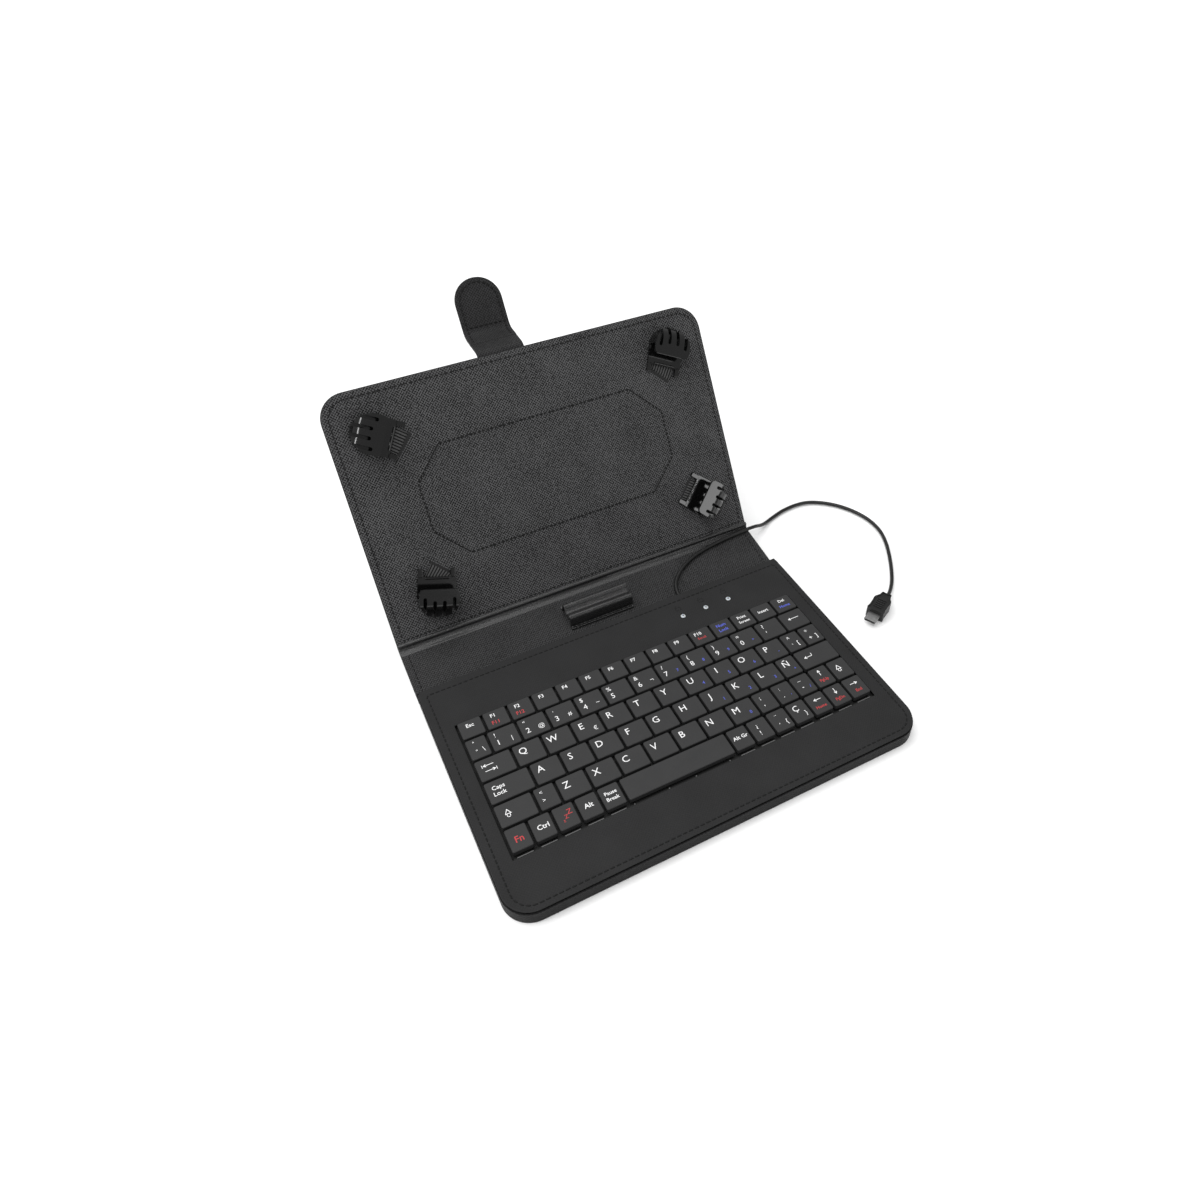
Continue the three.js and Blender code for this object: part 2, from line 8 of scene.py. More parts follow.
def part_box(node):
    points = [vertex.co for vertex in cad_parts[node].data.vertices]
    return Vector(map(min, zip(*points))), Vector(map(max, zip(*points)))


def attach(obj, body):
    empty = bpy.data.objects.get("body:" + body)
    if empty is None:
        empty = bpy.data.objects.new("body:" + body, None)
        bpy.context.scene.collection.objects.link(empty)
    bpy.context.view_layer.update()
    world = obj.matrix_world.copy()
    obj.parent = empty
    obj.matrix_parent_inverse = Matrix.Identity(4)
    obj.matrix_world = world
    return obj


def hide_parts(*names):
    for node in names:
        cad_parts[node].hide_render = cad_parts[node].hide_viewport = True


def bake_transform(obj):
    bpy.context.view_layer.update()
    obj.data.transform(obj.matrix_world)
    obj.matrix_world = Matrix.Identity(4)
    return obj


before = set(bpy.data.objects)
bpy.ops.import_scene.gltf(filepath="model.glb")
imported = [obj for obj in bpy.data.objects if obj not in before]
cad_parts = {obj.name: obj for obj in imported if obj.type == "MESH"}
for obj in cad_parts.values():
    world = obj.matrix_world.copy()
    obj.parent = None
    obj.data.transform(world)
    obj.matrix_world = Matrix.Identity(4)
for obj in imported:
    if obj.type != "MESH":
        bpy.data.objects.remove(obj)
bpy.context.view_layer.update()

MM = 0.001
# Everything below is in millimetres: x across, y from the middle of the keyboard to the rear,
# z up from the table.
HALF = 109.2
BASE_FRONT, BASE_REAR = -67.9, 68.6
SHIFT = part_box("base_outer_skin")[0].y / MM - BASE_FRONT
CORNER = 14.0
LEATHER_TOP = 9.1
SPINE_PIVOT, SPINE_ANGLE = (69.2, 2.5), math.atan2(4.85, 30.8)
SPINE_LENGTH = 31.18
COVER_PIVOT, COVER_ANGLE = (100.0, 7.35), math.radians(58.4)
COVER_LENGTH = 139.3
LEG_PIVOT, LEG_LENGTH = (99.0, -7.2), 92.0
STRAP_X, STRAP_HALF = -8.3, 13.3
STRAP_PIVOT, STRAP_KNEE, STRAP_TIP = Vector((140.6, -4.9)), Vector((151.4, -22.0)), 30.0
# The octagon sewn through the cover: half its length, half its short sides and its middle.
PATCH_LONG, PATCH_SHORT, PATCH_HIGH, PATCH_LOW, PATCH_MIDDLE = 72.4, 56.1, 30.5, 13.5, 71.1


def row(x, y, z):
    """A place in the shared frame, in metres."""
    return Vector((x, y + SHIFT, z)) * MM


def panel_frame(pivot, angle):
    """The frame of a panel that turns about X: x across, y along the panel, z off its inner face."""
    return Matrix.Translation(row(0, *pivot)) @ Matrix.Rotation(angle, 4, "X")


def on_panel(pivot, angle, along, off):
    """The y and z of a place on a panel."""
    return (
        pivot[0] + along * math.cos(angle) - off * math.sin(angle),
        pivot[1] + along * math.sin(angle) + off * math.cos(angle),
    )


def on_spine(along, off):
    return on_panel(SPINE_PIVOT, SPINE_ANGLE, along, off)


def on_cover(along, off):
    return on_panel(COVER_PIVOT, COVER_ANGLE, along, off)


FLAT = Matrix.Identity(4)  # for a piece that is cut flat and bent afterwards
TABLE = panel_frame((0, 0), 0)
SPINE = panel_frame(SPINE_PIVOT, SPINE_ANGLE)
COVER = panel_frame(COVER_PIVOT, COVER_ANGLE)


# ---- camera and studio ----


def set_camera():
    lens = bpy.data.cameras.new("camera")
    lens.sensor_width = 36
    lens.lens = 27.104
    lens.shift_x = -0.0485
    lens.shift_y = -0.0380
    lens.clip_start = 0.01
    lens.clip_end = 50
    camera = bpy.data.objects.new("camera", lens)
    bpy.context.scene.collection.objects.link(camera)
    right = Vector((0.88693, -0.461896, -0.002697))
    up = Vector((0.316785, 0.604020, 0.731305))
    back = right.cross(up)
    turn = Matrix((right, up, back)).transposed().to_4x4()
    camera.matrix_world = Matrix.Translation((-0.132197, -0.319869, 0.376785)) @ turn
    bpy.context.scene.camera = camera


def soft_light(name, place, target, size, power):
    lamp = bpy.data.lights.new(name, "AREA")
    lamp.shape = "RECTANGLE"
    lamp.size, lamp.size_y = size
    lamp.energy = power
    light = bpy.data.objects.new(name, lamp)
    bpy.context.scene.collection.objects.link(light)
    light.location = place
    aim = Vector(target) - Vector(place)
    light.rotation_euler = aim.to_track_quat("-Z", "Y").to_euler()


def set_lights():
    sun = bpy.data.lights.new("overhead", "SUN")
    sun.energy = 2.3
    sun.angle = math.radians(70)
    light = bpy.data.objects.new("overhead", sun)
    bpy.context.scene.collection.objects.link(light)
    light.rotation_euler = (math.radians(-12), math.radians(-14), 0)
    soft_light("front_strip", (0.56, -1.3, 0.45), (0.05, 0.03, 0.04), (0.74, 0.28), 2.6)
    soft_light("left_strip", (-1.1, 0.1, 0.75), (0, 0.03, 0.06), (0.12, 0.7), 3)
    soft_light("sparkle", (-0.35, -0.75, 1.5), (0, 0, 0.05), (0.16, 0.16), 5)
    world = bpy.data.worlds.new("studio")
    world.use_nodes = True
    sky = world.node_tree.nodes["Background"]
    sky.inputs["Color"].default_value = (1, 1, 1, 1)
    sky.inputs["Strength"].default_value = 0.42
    bpy.context.scene.world = world
    bpy.context.scene.view_settings.view_transform = "Standard"


# ---- shader maths ----


class Reading:
    """A value or colour that varies over a finish: a socket in its node tree."""

    def __init__(self, finish, socket):
        self.finish, self.socket = finish, socket

    def math(self, operation, *others):
        return self.finish.node("Math", {"operation": operation}, [self, *others])

    def __add__(self, other):
        return self.math("ADD", other)

    def __sub__(self, other):
        return self.math("SUBTRACT", other)

    def __rsub__(self, other):
        return self.finish.node("Math", {"operation": "SUBTRACT"}, [other, self])

    def __mul__(self, other):
        return self.math("MULTIPLY", other)

    def __abs__(self):
        return self.math("ABSOLUTE")

    __radd__ = __add__
    __rmul__ = __mul__


class Finish:
    """A material around one Principled shader."""

    def __init__(self, name, **constants):
        self.material = bpy.data.materials.new(name)
        self.material.use_nodes = True
        self.tree = self.material.node_tree
        self.shader = self.tree.nodes["Principled BSDF"]
        for socket, value in constants.items():
            self.shader.inputs[socket.replace("_", " ")].default_value = value

    def node(self, kind, settings=None, inputs=(), output=0):
        made = self.tree.nodes.new("ShaderNode" + kind)
        for key, value in (settings or {}).items():
            setattr(made, key, value)
        pairs = inputs.items() if isinstance(inputs, dict) else enumerate(inputs)
        for key, value in pairs:
            if isinstance(value, Reading):
                self.tree.links.new(value.socket, made.inputs[key])
            else:
                made.inputs[key].default_value = value
        return Reading(self, made.outputs[output])

    def feed(self, socket, reading):
        self.tree.links.new(reading.socket, self.shader.inputs[socket])

    def place(self, size=1000.0):
        """The place on the piece, in millimetres when size is 1000."""
        where = self.node("TexCoord", output="Object")
        return self.node("VectorMath", {"operation": "SCALE"}, {0: where, "Scale": size})

    def sheet_place(self):
        """The place on the cut sheet, in millimetres, which bends with it."""
        where = self.node("UVMap", {"uv_map": "sheet"})
        return self.node("VectorMath", {"operation": "SCALE"}, {0: where, "Scale": 1 / MM})

    def split(self, where):
        """The first two coordinates of a place."""
        first = self.node("SeparateXYZ", None, [where])
        return first, Reading(self, first.socket.node.outputs[1])

    def noise(self, where, scale, detail=2.0, rough=0.5):
        inputs = {"Vector": where, "Scale": scale, "Detail": detail, "Roughness": rough}
        return self.node("TexNoise", None, inputs)

    def between(self, low, high, share):
        """A colour that goes from low to high as share goes from 0 to 1."""
        return self.node("Mix", {"data_type": "RGBA"}, {0: share, 6: low, 7: high}, output=2)

    def ease(self, value, low, high, start=0.0, end=1.0):
        settings = {"interpolation_type": "SMOOTHSTEP"}
        return self.node("MapRange", settings, {0: value, 1: low, 2: high, 3: start, 4: end})

    def bump(self, height, strength, distance):
        relief = {"Strength": strength, "Distance": distance * MM, "Height": height}
        self.feed("Normal", self.node("Bump", None, relief))


def grey(level, tint=0.0):
    return (level, level, level * (1 + tint), 1)


def leatherette(name, low, high, roughness, hatch, pitch, relief, gloss=0.14):
    """Embossed leatherette: broken strokes that slant both ways and cross, over a fine grain."""
    finish = Finish(name, Specular_IOR_Level=gloss)
    where = finish.sheet_place()
    wander = finish.noise(where, 0.55, 2.0)
    across, along = finish.split(where)
    turn = math.pi / (pitch * math.sqrt(2))
    falling = abs(((across + along) * turn + wander * 1.1).math("SINE"))
    rising = abs(((across - along) * turn - wander * 1.1).math("SINE"))
    breaks = finish.ease(finish.noise(where, 0.9, 3.0, 0.7), 0.34, 0.64)
    falling = finish.ease(falling, 0.45, 0.98) * breaks
    rising = finish.ease(rising, 0.45, 0.98) * (1 - breaks * 0.8)
    strokes = falling.math("MAXIMUM", rising)
    grain = finish.noise(where, 3.2, 3.0, 0.6)
    patch = finish.noise(where, 0.045, 2.0)
    height = strokes * hatch + grain * (1.15 - hatch)
    # Base colour: lighter on the raised strokes and grain and darker in the grooves between them, which is
    # painted highlight and painted shade of the relief, mixed with a broad random tone.
    relief_shade_and_tone = finish.ease(height * 0.85 + patch * 0.3, 0.26, 0.94)
    finish.feed("Base Color", finish.between(grey(low), grey(high, 0.02), relief_shade_and_tone))
    finish.feed("Roughness", roughness + 0.14 * grain - 0.12 * strokes * hatch)
    finish.bump(height, 0.9, relief)
    return finish.material


def matt_plastic(name, level, roughness, tint=0.0, texture=0.02):
    finish = Finish(name, Specular_IOR_Level=0.35)
    where = finish.place()
    fine = finish.noise(where, 6.0, 2.0)
    patch = finish.noise(where, 0.12, 2.0)
    finish.feed("Base Color", finish.between(grey(level * 0.86, tint), grey(level * 1.14, tint), patch))
    finish.feed("Roughness", roughness + 0.1 * fine)
    finish.bump(fine, 0.35, texture)
    return finish.material


def gloss_plastic(name, level):
    finish = Finish(name, Specular_IOR_Level=0.55)
    where = finish.place()
    patch = finish.noise(where, 0.25, 3.0)
    scuff = finish.noise(where, 2.2, 4.0, 0.7)
    finish.feed("Base Color", finish.between(grey(level), grey(level * 1.6), patch))
    finish.feed("Roughness", 0.07 + 0.08 * scuff)
    finish.bump(patch, 0.15, 0.03)
    return finish.material


CORDS, BAND = 8, 13.0  # cords of an elastic band, and its width


def ribbed_cloth(name, level):
    """Corded elastic: threads that cross the cords, fuzzy and dull."""
    finish = Finish(name, Specular_IOR_Level=0.2)
    where = finish.sheet_place()
    across, along = finish.split(where)
    cord = abs((across * (math.pi * CORDS / BAND)).math("COSINE"))
    thread = abs((along * (math.pi / 0.5)).math("SINE"))
    fuzz = finish.noise(where, 5.0, 3.0, 0.7)
    # Base colour: darkest in the valleys between the cords, which is painted shade, varied by the crossing
    # threads and fuzz.
    relief_shade_and_tone = finish.ease(cord, 0.35, 0.95) * (0.6 + 0.25 * thread + 0.25 * fuzz)
    finish.feed("Base Color", finish.between(grey(level * 0.06), grey(level * 2.4), relief_shade_and_tone))
    finish.feed("Roughness", 0.7 + 0.2 * fuzz)
    finish.bump(thread * 0.6 + fuzz * 0.4, 0.7, 0.15)
    return finish.material


def sewing_thread(name):
    finish = Finish(name, Specular_IOR_Level=0.3)
    where = finish.place()
    inputs = {"Vector": where, "Scale": 1.6, "Distortion": 1.0}
    twist = finish.node("TexWave", {"bands_direction": "DIAGONAL"}, inputs)
    finish.feed("Base Color", finish.between(grey(0.001), grey(0.004), twist))
    finish.feed("Roughness", 0.6 + 0.15 * twist)
    finish.bump(twist, 0.5, 0.06)
    return finish.material


def steel(name, level, roughness):
    finish = Finish(name)
    where = finish.node("Mapping", None, {"Vector": finish.place(), "Rotation": (0, 0, math.radians(-28))})
    stretched = finish.node("VectorMath", {"operation": "MULTIPLY"}, [where, (0.3, 4.0, 4.0)])
    brush = finish.noise(stretched, 1.0, 3.0, 0.6)
    finish.shader.inputs["Metallic"].default_value = 1.0
    finish.feed("Base Color", finish.between(grey(level * 0.7), grey(level * 1.2), brush))
    finish.feed("Roughness", roughness + 0.15 * brush)
    finish.bump(brush, 0.2, 0.03)
    return finish.material


def board_stock(name, colour, fibre):
    """Stiffening board, foam, silicone or laminate: a coloured stock with fibres or specks."""
    finish = Finish(name, Specular_IOR_Level=0.3)
    where = finish.place()
    specks = finish.noise(where, fibre, 4.0, 0.7)
    dark = tuple(0.7 * c for c in colour[:3]) + (1,)
    finish.feed("Base Color", finish.between(dark, colour, specks))
    finish.feed("Roughness", 0.65 + 0.2 * specks)
    finish.bump(specks, 0.4, 0.1)
    return finish.material


def ink(name, colour):
    finish = Finish(name, Specular_IOR_Level=0.3)
    spread = finish.noise(finish.place(), 2.5, 2.0)
    dark = tuple(0.82 * c for c in colour[:3]) + (1,)
    finish.feed("Base Color", finish.between(dark, colour, spread))
    finish.feed("Roughness", 0.5 + 0.1 * spread)
    return finish.material


def lamp_lens(name):
    finish = Finish(name, Specular_IOR_Level=0.5, Subsurface_Weight=0.2)
    haze = finish.noise(finish.place(), 1.3, 2.0)
    finish.feed("Base Color", finish.between(grey(0.4), grey(0.62), haze))
    finish.feed("Roughness", 0.25 + 0.1 * haze)
    return finish.material


def floor_paint():
    finish = Finish("studio_floor", Specular_IOR_Level=0.1)
    patch = finish.noise(finish.place(1.0), 1.5, 2.0)
    finish.feed("Base Color", finish.between(grey(0.93), grey(0.95), patch))
    finish.feed("Roughness", 0.85 + 0.05 * patch)
    return finish.material


# ---- making pieces ----


def begin(kind, name, scale=(1, 1, 1), **settings):
    """Adds a primitive at its size and place, ready for shaping."""
    bpy.ops.object.select_all(action="DESELECT")
    getattr(bpy.ops.mesh, f"primitive_{kind}_add")(**settings)
    piece = bpy.context.object
    piece.scale = scale
    piece.name = name
    piece.data.name = name
    bpy.ops.object.transform_apply(location=True, rotation=True, scale=True)
    return piece


def select_only(piece):
    bpy.ops.object.select_all(action="DESELECT")
    bpy.context.view_layer.objects.active = piece
    piece.select_set(True)


def shape():
    bpy.ops.object.mode_set(mode="EDIT")


def done():
    bpy.ops.object.mode_set(mode="OBJECT")


def pick(kind, test):
    """Selects the vertices, edges or faces whose middle, in millimetres, passes the test.

    An edge also gives its run, and a face its normal.
    """
    mesh = bpy.context.object.data
    bm = bmesh.from_edit_mesh(mesh)
    bpy.context.tool_settings.mesh_select_mode = (kind == "verts", kind == "edges", kind == "faces")
    for part in (bm.faces, bm.edges, bm.verts):
        for item in part:
            item.select = False
    for item in getattr(bm, kind):
        if kind == "verts":
            chosen = test(item.co / MM)
        elif kind == "edges":
            ends = [v.co / MM for v in item.verts]
            chosen = test((ends[0] + ends[1]) / 2, ends[1] - ends[0])
        else:
            chosen = test(item.calc_center_median() / MM, item.normal)
        if chosen:
            item.select_set(True)
    bmesh.update_edit_mesh(mesh)


def pick_all():
    bpy.ops.mesh.select_all(action="SELECT")


def extrude(kind, x=0.0, y=0.0, z=0.0):
    move = {"value": (x * MM, y * MM, z * MM)}
    if kind == "edges":
        bpy.ops.mesh.extrude_edges_move(TRANSFORM_OT_translate=move)
    else:
        bpy.ops.mesh.extrude_region_move(TRANSFORM_OT_translate=move)


def slice_at(axis, places):
    """Cuts edge lines across the open piece."""
    normal = {"x": (1, 0, 0), "y": (0, 1, 0), "z": (0, 0, 1)}[axis]
    for place in places:
        pick_all()
        point = tuple(place * MM * n for n in normal)
        bpy.ops.mesh.bisect(plane_co=point, plane_no=normal)


def modify(piece, kind, **settings):
    """Adds a modifier and applies it."""
    select_only(piece)
    made = piece.modifiers.new(kind.lower(), kind)
    for key, value in settings.items():
        setattr(made, key, value)
    bpy.ops.object.modifier_apply(modifier=made.name)


def ease_edges(piece, width, segments=2, angle=40):
    modify(piece, "BEVEL", width=width * MM, segments=segments, limit_method="ANGLE",
           angle_limit=math.radians(angle), use_clamp_overlap=True)


def smooth(piece, angle=38):
    select_only(piece)
    bpy.ops.object.shade_smooth_by_angle(angle=math.radians(angle))
    modify(piece, "WEIGHTED_NORMAL", keep_sharp=True)


def set_in(piece, place, angle=38):
    """Moves a finished shape to its place and shades it smooth."""
    piece.data.transform(place)
    smooth(piece, angle)


def turn_out(piece):
    """Merges doubles and points all faces outwards."""
    select_only(piece)
    shape()
    pick_all()
    bpy.ops.mesh.remove_doubles(threshold=0.002 * MM)
    bpy.ops.mesh.normals_make_consistent(inside=False)
    done()


def lay_out(piece):
    """Writes the flat place of each point into the sheet map, by the side that each face shows."""
    mesh = piece.data
    layer = mesh.uv_layers.get("sheet") or mesh.uv_layers.new(name="sheet")
    for face in mesh.polygons:
        side = max(range(3), key=lambda axis: abs(face.normal[axis]))
        first, second = [(1, 2), (0, 2), (0, 1)][side]
        for loop in face.loop_indices:
            co = mesh.vertices[mesh.loops[loop].vertex_index].co
            layer.data[loop].uv = (co[first], co[second])


def join(pieces, name):
    bpy.ops.object.select_all(action="DESELECT")
    for piece in pieces:
        piece.select_set(True)
    bpy.context.view_layer.objects.active = pieces[0]
    if len(pieces) > 1:
        bpy.ops.object.join()
    pieces[0].name = name
    return pieces[0]


def copy_of(piece, name, placed=None):
    twin = piece.copy()
    twin.data = piece.data.copy()
    twin.name = name
    bpy.context.scene.collection.objects.link(twin)
    if placed is not None:
        twin.data.transform(placed)
    return twin


def to_mesh(curve, name):
    """Makes a curve or a text a mesh piece."""
    holder = bpy.data.objects.new(name, curve)
    bpy.context.scene.collection.objects.link(holder)
    select_only(holder)
    bpy.ops.object.convert(target="MESH")
    return bpy.context.object


def discard(*pieces):
    for piece in pieces:
        bpy.data.objects.remove(piece)


def dress(piece, material, body=None, stands_for=()):
    piece.data.materials.clear()
    piece.data.materials.append(material)
    if stands_for:
        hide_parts(*stands_for)
    if body:
        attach(piece, body)
    return piece


def combine(piece, tool, operation):
    """Joins, cuts or keeps the common part of two solids."""
    modify(piece, "BOOLEAN", object=tool, operation=operation, solver="EXACT")
    discard(tool)


def block(name, low, high):
    """A box between two corners, to be shaped or to cut with."""
    size = [b - a for a, b in zip(low, high)]
    middle = [(a + b) / 2 * MM for a, b in zip(low, high)]
    return begin("cube", name, size=1, location=middle, scale=[s * MM for s in size])


def cut_sheet(name, left, right, front, rear, levels, corners=(0, 0), rim=0.25, lines=(), window=None):
    """A sheet cut flat: rounded front and rear corners, its thickness between two levels, and eased rims."""
    low, high = levels
    middle = (front + rear) / 2
    piece = begin("plane", name, size=1, location=((left + right) / 2 * MM, middle * MM, low * MM),
                  scale=((right - left) * MM, (rear - front) * MM, 1))
    shape()
    for radius, side in zip(corners, (-1, 1)):
        if radius > 0:
            end = front if side < 0 else rear
            pick("verts", lambda v: abs(v.y - end) < 0.01 and min(abs(v.x - left), abs(v.x - right)) < 0.01)
            bpy.ops.mesh.bevel(offset=radius * MM, segments=max(4, int(radius)), affect="VERTICES")
    slice_at("y", lines)
    if window:
        slice_at("x", window[:2])
        slice_at("y", window[2:])
        pick("faces", lambda c, n: window[0] < c.x < window[1] and window[2] < c.y < window[3])
        bpy.ops.mesh.delete(type="FACE")
    pick_all()
    extrude("region", z=high - low)
    done()
    turn_out(piece)
    if rim:
        ease_edges(piece, rim)
    lay_out(piece)
    return piece


def bend(piece, path):
    """Bends a flat sheet so that its level 0 follows a line of y and z, y along the line and z off it."""
    points = [Vector((y, z)) for y, z in path]
    runs = [0.0]
    for a, b in zip(points, points[1:]):
        runs.append(runs[-1] + (b - a).length)
    tilts = []
    for i in range(len(points)):
        a, b = points[max(i - 1, 0)], points[min(i + 1, len(points) - 1)]
        tilts.append(math.atan2(b.y - a.y, b.x - a.x))
    for vertex in piece.data.vertices:
        along = min(max(vertex.co.y / MM, 0.0), runs[-1])
        i = max(k for k in range(len(runs) - 1) if runs[k] <= along + 1e-9)
        share = (along - runs[i]) / (runs[i + 1] - runs[i])
        spot = points[i].lerp(points[i + 1], share)
        tilt = tilts[i] + (tilts[i + 1] - tilts[i]) * share
        off = vertex.co.z / MM
        vertex.co.y = (spot.x - math.sin(tilt) * off) * MM
        vertex.co.z = (spot.y + math.cos(tilt) * off) * MM


def length_of(path):
    return sum((Vector(b) - Vector(a)).length for a, b in zip(path, path[1:]))


def turn(start, corner, end, steps=8):
    """Points on a soft turn from start to end that heads for the corner."""
    a, b, c = Vector(start), Vector(corner), Vector(end)
    shares = [k / steps for k in range(steps + 1)]
    return [tuple((1 - s) ** 2 * a + 2 * s * (1 - s) * b + s * s * c) for s in shares]


def soft_line(points, steps=6):
    """Points on a smooth curve through the given points."""
    out = []
    ends = [Vector(p) for p in points]
    padded = [2 * ends[0] - ends[1], *ends, 2 * ends[-1] - ends[-2]]
    for i in range(1, len(padded) - 2):
        p0, p1, p2, p3 = padded[i - 1:i + 3]
        for k in range(steps):
            s = k / steps
            out.append(0.5 * (2 * p1 + (p2 - p0) * s + (2 * p0 - 5 * p1 + 4 * p2 - p3) * s * s
                              + (3 * p1 - p0 - 3 * p2 + p3) * s ** 3))
    out.append(ends[-1])
    return [tuple(p) for p in out]


def bent_strip(name, left, right, path, thickness, corners=(0, 0), rim=0.2, off=0.0, step=1.6):
    """A strip cut flat to the length of a line, then bent along it."""
    length = length_of(path)
    lines = [length * k / int(length / step) for k in range(1, int(length / step))]
    piece = cut_sheet(name, left, right, 0, length, (off, off + thickness), corners, rim, lines)
    bend(piece, path)
    return piece


def rounded_outline(left, right, front, rear, front_radius, rear_radius):
    """Points round a rectangle with rounded corners, starting at its front left."""
    out = []
    turns = [
        (left + front_radius, front + front_radius, front_radius, 180),
        (right - front_radius, front + front_radius, front_radius, 270),
        (right - rear_radius, rear - rear_radius, rear_radius, 0),
        (left + rear_radius, rear - rear_radius, rear_radius, 90),
    ]
    for x, y, radius, start in turns:
        for k in range(9):
            a = math.radians(start + 90 * k / 8)
            out.append((x + radius * math.cos(a), y + radius * math.sin(a)))
    return out + out[:1]


def pace(points, pitch):
    """Even steps along a line of points: (x, y, heading) of each."""
    total = length_of(points)
    count = max(1, round(total / pitch))
    step, out, walked, due = total / count, [], 0.0, total / count / 2
    for a, b in zip(points, points[1:]):
        a, b = Vector(a), Vector(b)
        run = (b - a).length
        while run > 0 and walked + run >= due and len(out) < count:
            spot = a.lerp(b, (due - walked) / run)
            out.append((spot.x, spot.y, math.atan2(b.y - a.y, b.x - a.x)))
            due += step
        walked += run
    return out


def sides_of(points):
    return [[a, b] for a, b in zip(points, points[1:])]


def make_stitch():
    """One sewn stitch: a short fat thread whose ends dive into the sheet."""
    stitch = begin("cylinder", "stitch", vertices=8, radius=0.42 * MM, depth=0.95 * MM,
                   rotation=(0, math.pi / 2, 0))
    shape()
    for side in (-1, 1):
        pick("faces", lambda c, n, s=side: n.x * s > 0.9)
        extrude("region", x=0.2 * side, z=-0.3)
        bpy.ops.transform.resize(value=(1, 0.55, 0.55))
    done()
    smooth(stitch, 60)
    return stitch


EDGE_STITCH = (1.45, 0.8)
STRAP_STITCH = (1.5, 1.0)


def sew(name, paths, pitch, level, size, body=None, place=TABLE):
    """A row of stitches along lines on a flat panel. Size says how long and thick they are."""
    long, thick = size
    stitch = make_stitch()
    made = []
    for path in paths:
        for x, y, heading in pace(path, pitch):
            placed = Matrix.Translation((x * MM, y * MM, level * MM)) @ Matrix.Rotation(heading, 4, "Z")
            made.append(copy_of(stitch, name, placed @ Matrix.Diagonal((long, thick, thick, 1))))
    discard(stitch)
    row_of = join(made, name)
    row_of.data.transform(place)
    dress(row_of, THREAD, body)
    return row_of


# ---- cord and plug ----

CORD_RADIUS = 1.1
CORD_ROUTE = [
    (45.6, 69.5, 4.6), (45.9, 72.6, 4.8), (46.6, 76.0, 5.15), (48.4, 80.2, 5.75), (52.0, 84.4, 6.4),
    (58.0, 88.9, 7.2), (66.0, 92.7, 7.8), (75.0, 95.2, 8.25), (85.0, 96.8, 8.5), (95.0, 97.8, 8.65),
    (104.5, 98.3, 8.75), (110.5, 98.8, 8.6), (115.8, 100.2, 6.9), (121.2, 102.4, 3.9), (127.0, 105.2, 1.8),
    (133.5, 107.8, 1.25), (142.5, 110.3, 1.25), (152.5, 111.2, 1.25), (161.0, 110.0, 1.25),
    (168.8, 105.8, 1.25), (176.3, 98.8, 1.25), (182.4, 89.2, 1.25), (186.0, 78.0, 1.25), (186.0, 66.5, 1.25),
    (182.6, 55.8, 1.25), (177.2, 45.4, 1.25), (170.8, 35.2, 1.25), (164.2, 26.4, 1.4), (158.2, 20.4, 2.3),
    (154.0, 17.1, 3.4), (151.1, 15.5, 3.9),
]


def make_cord():
    """The cord: a round rubbery tube along its route, with its ends inside the base and the plug."""
    line = [row(*p) for p in soft_line(CORD_ROUTE, 5)]
    curve = bpy.data.curves.new("cord_line", "CURVE")
    curve.dimensions = "3D"
    curve.bevel_depth = CORD_RADIUS * MM
    curve.bevel_resolution = 3
    curve.use_fill_caps = True
    spline = curve.splines.new("POLY")
    spline.points.add(len(line) - 1)
    for point, place in zip(spline.points, line):
        point.co = (*place, 1)
    tube = to_mesh(curve, "usb_cord")
    turn_out(tube)
    smooth(tube, 60)
    lay_out(tube)
    return tube, line


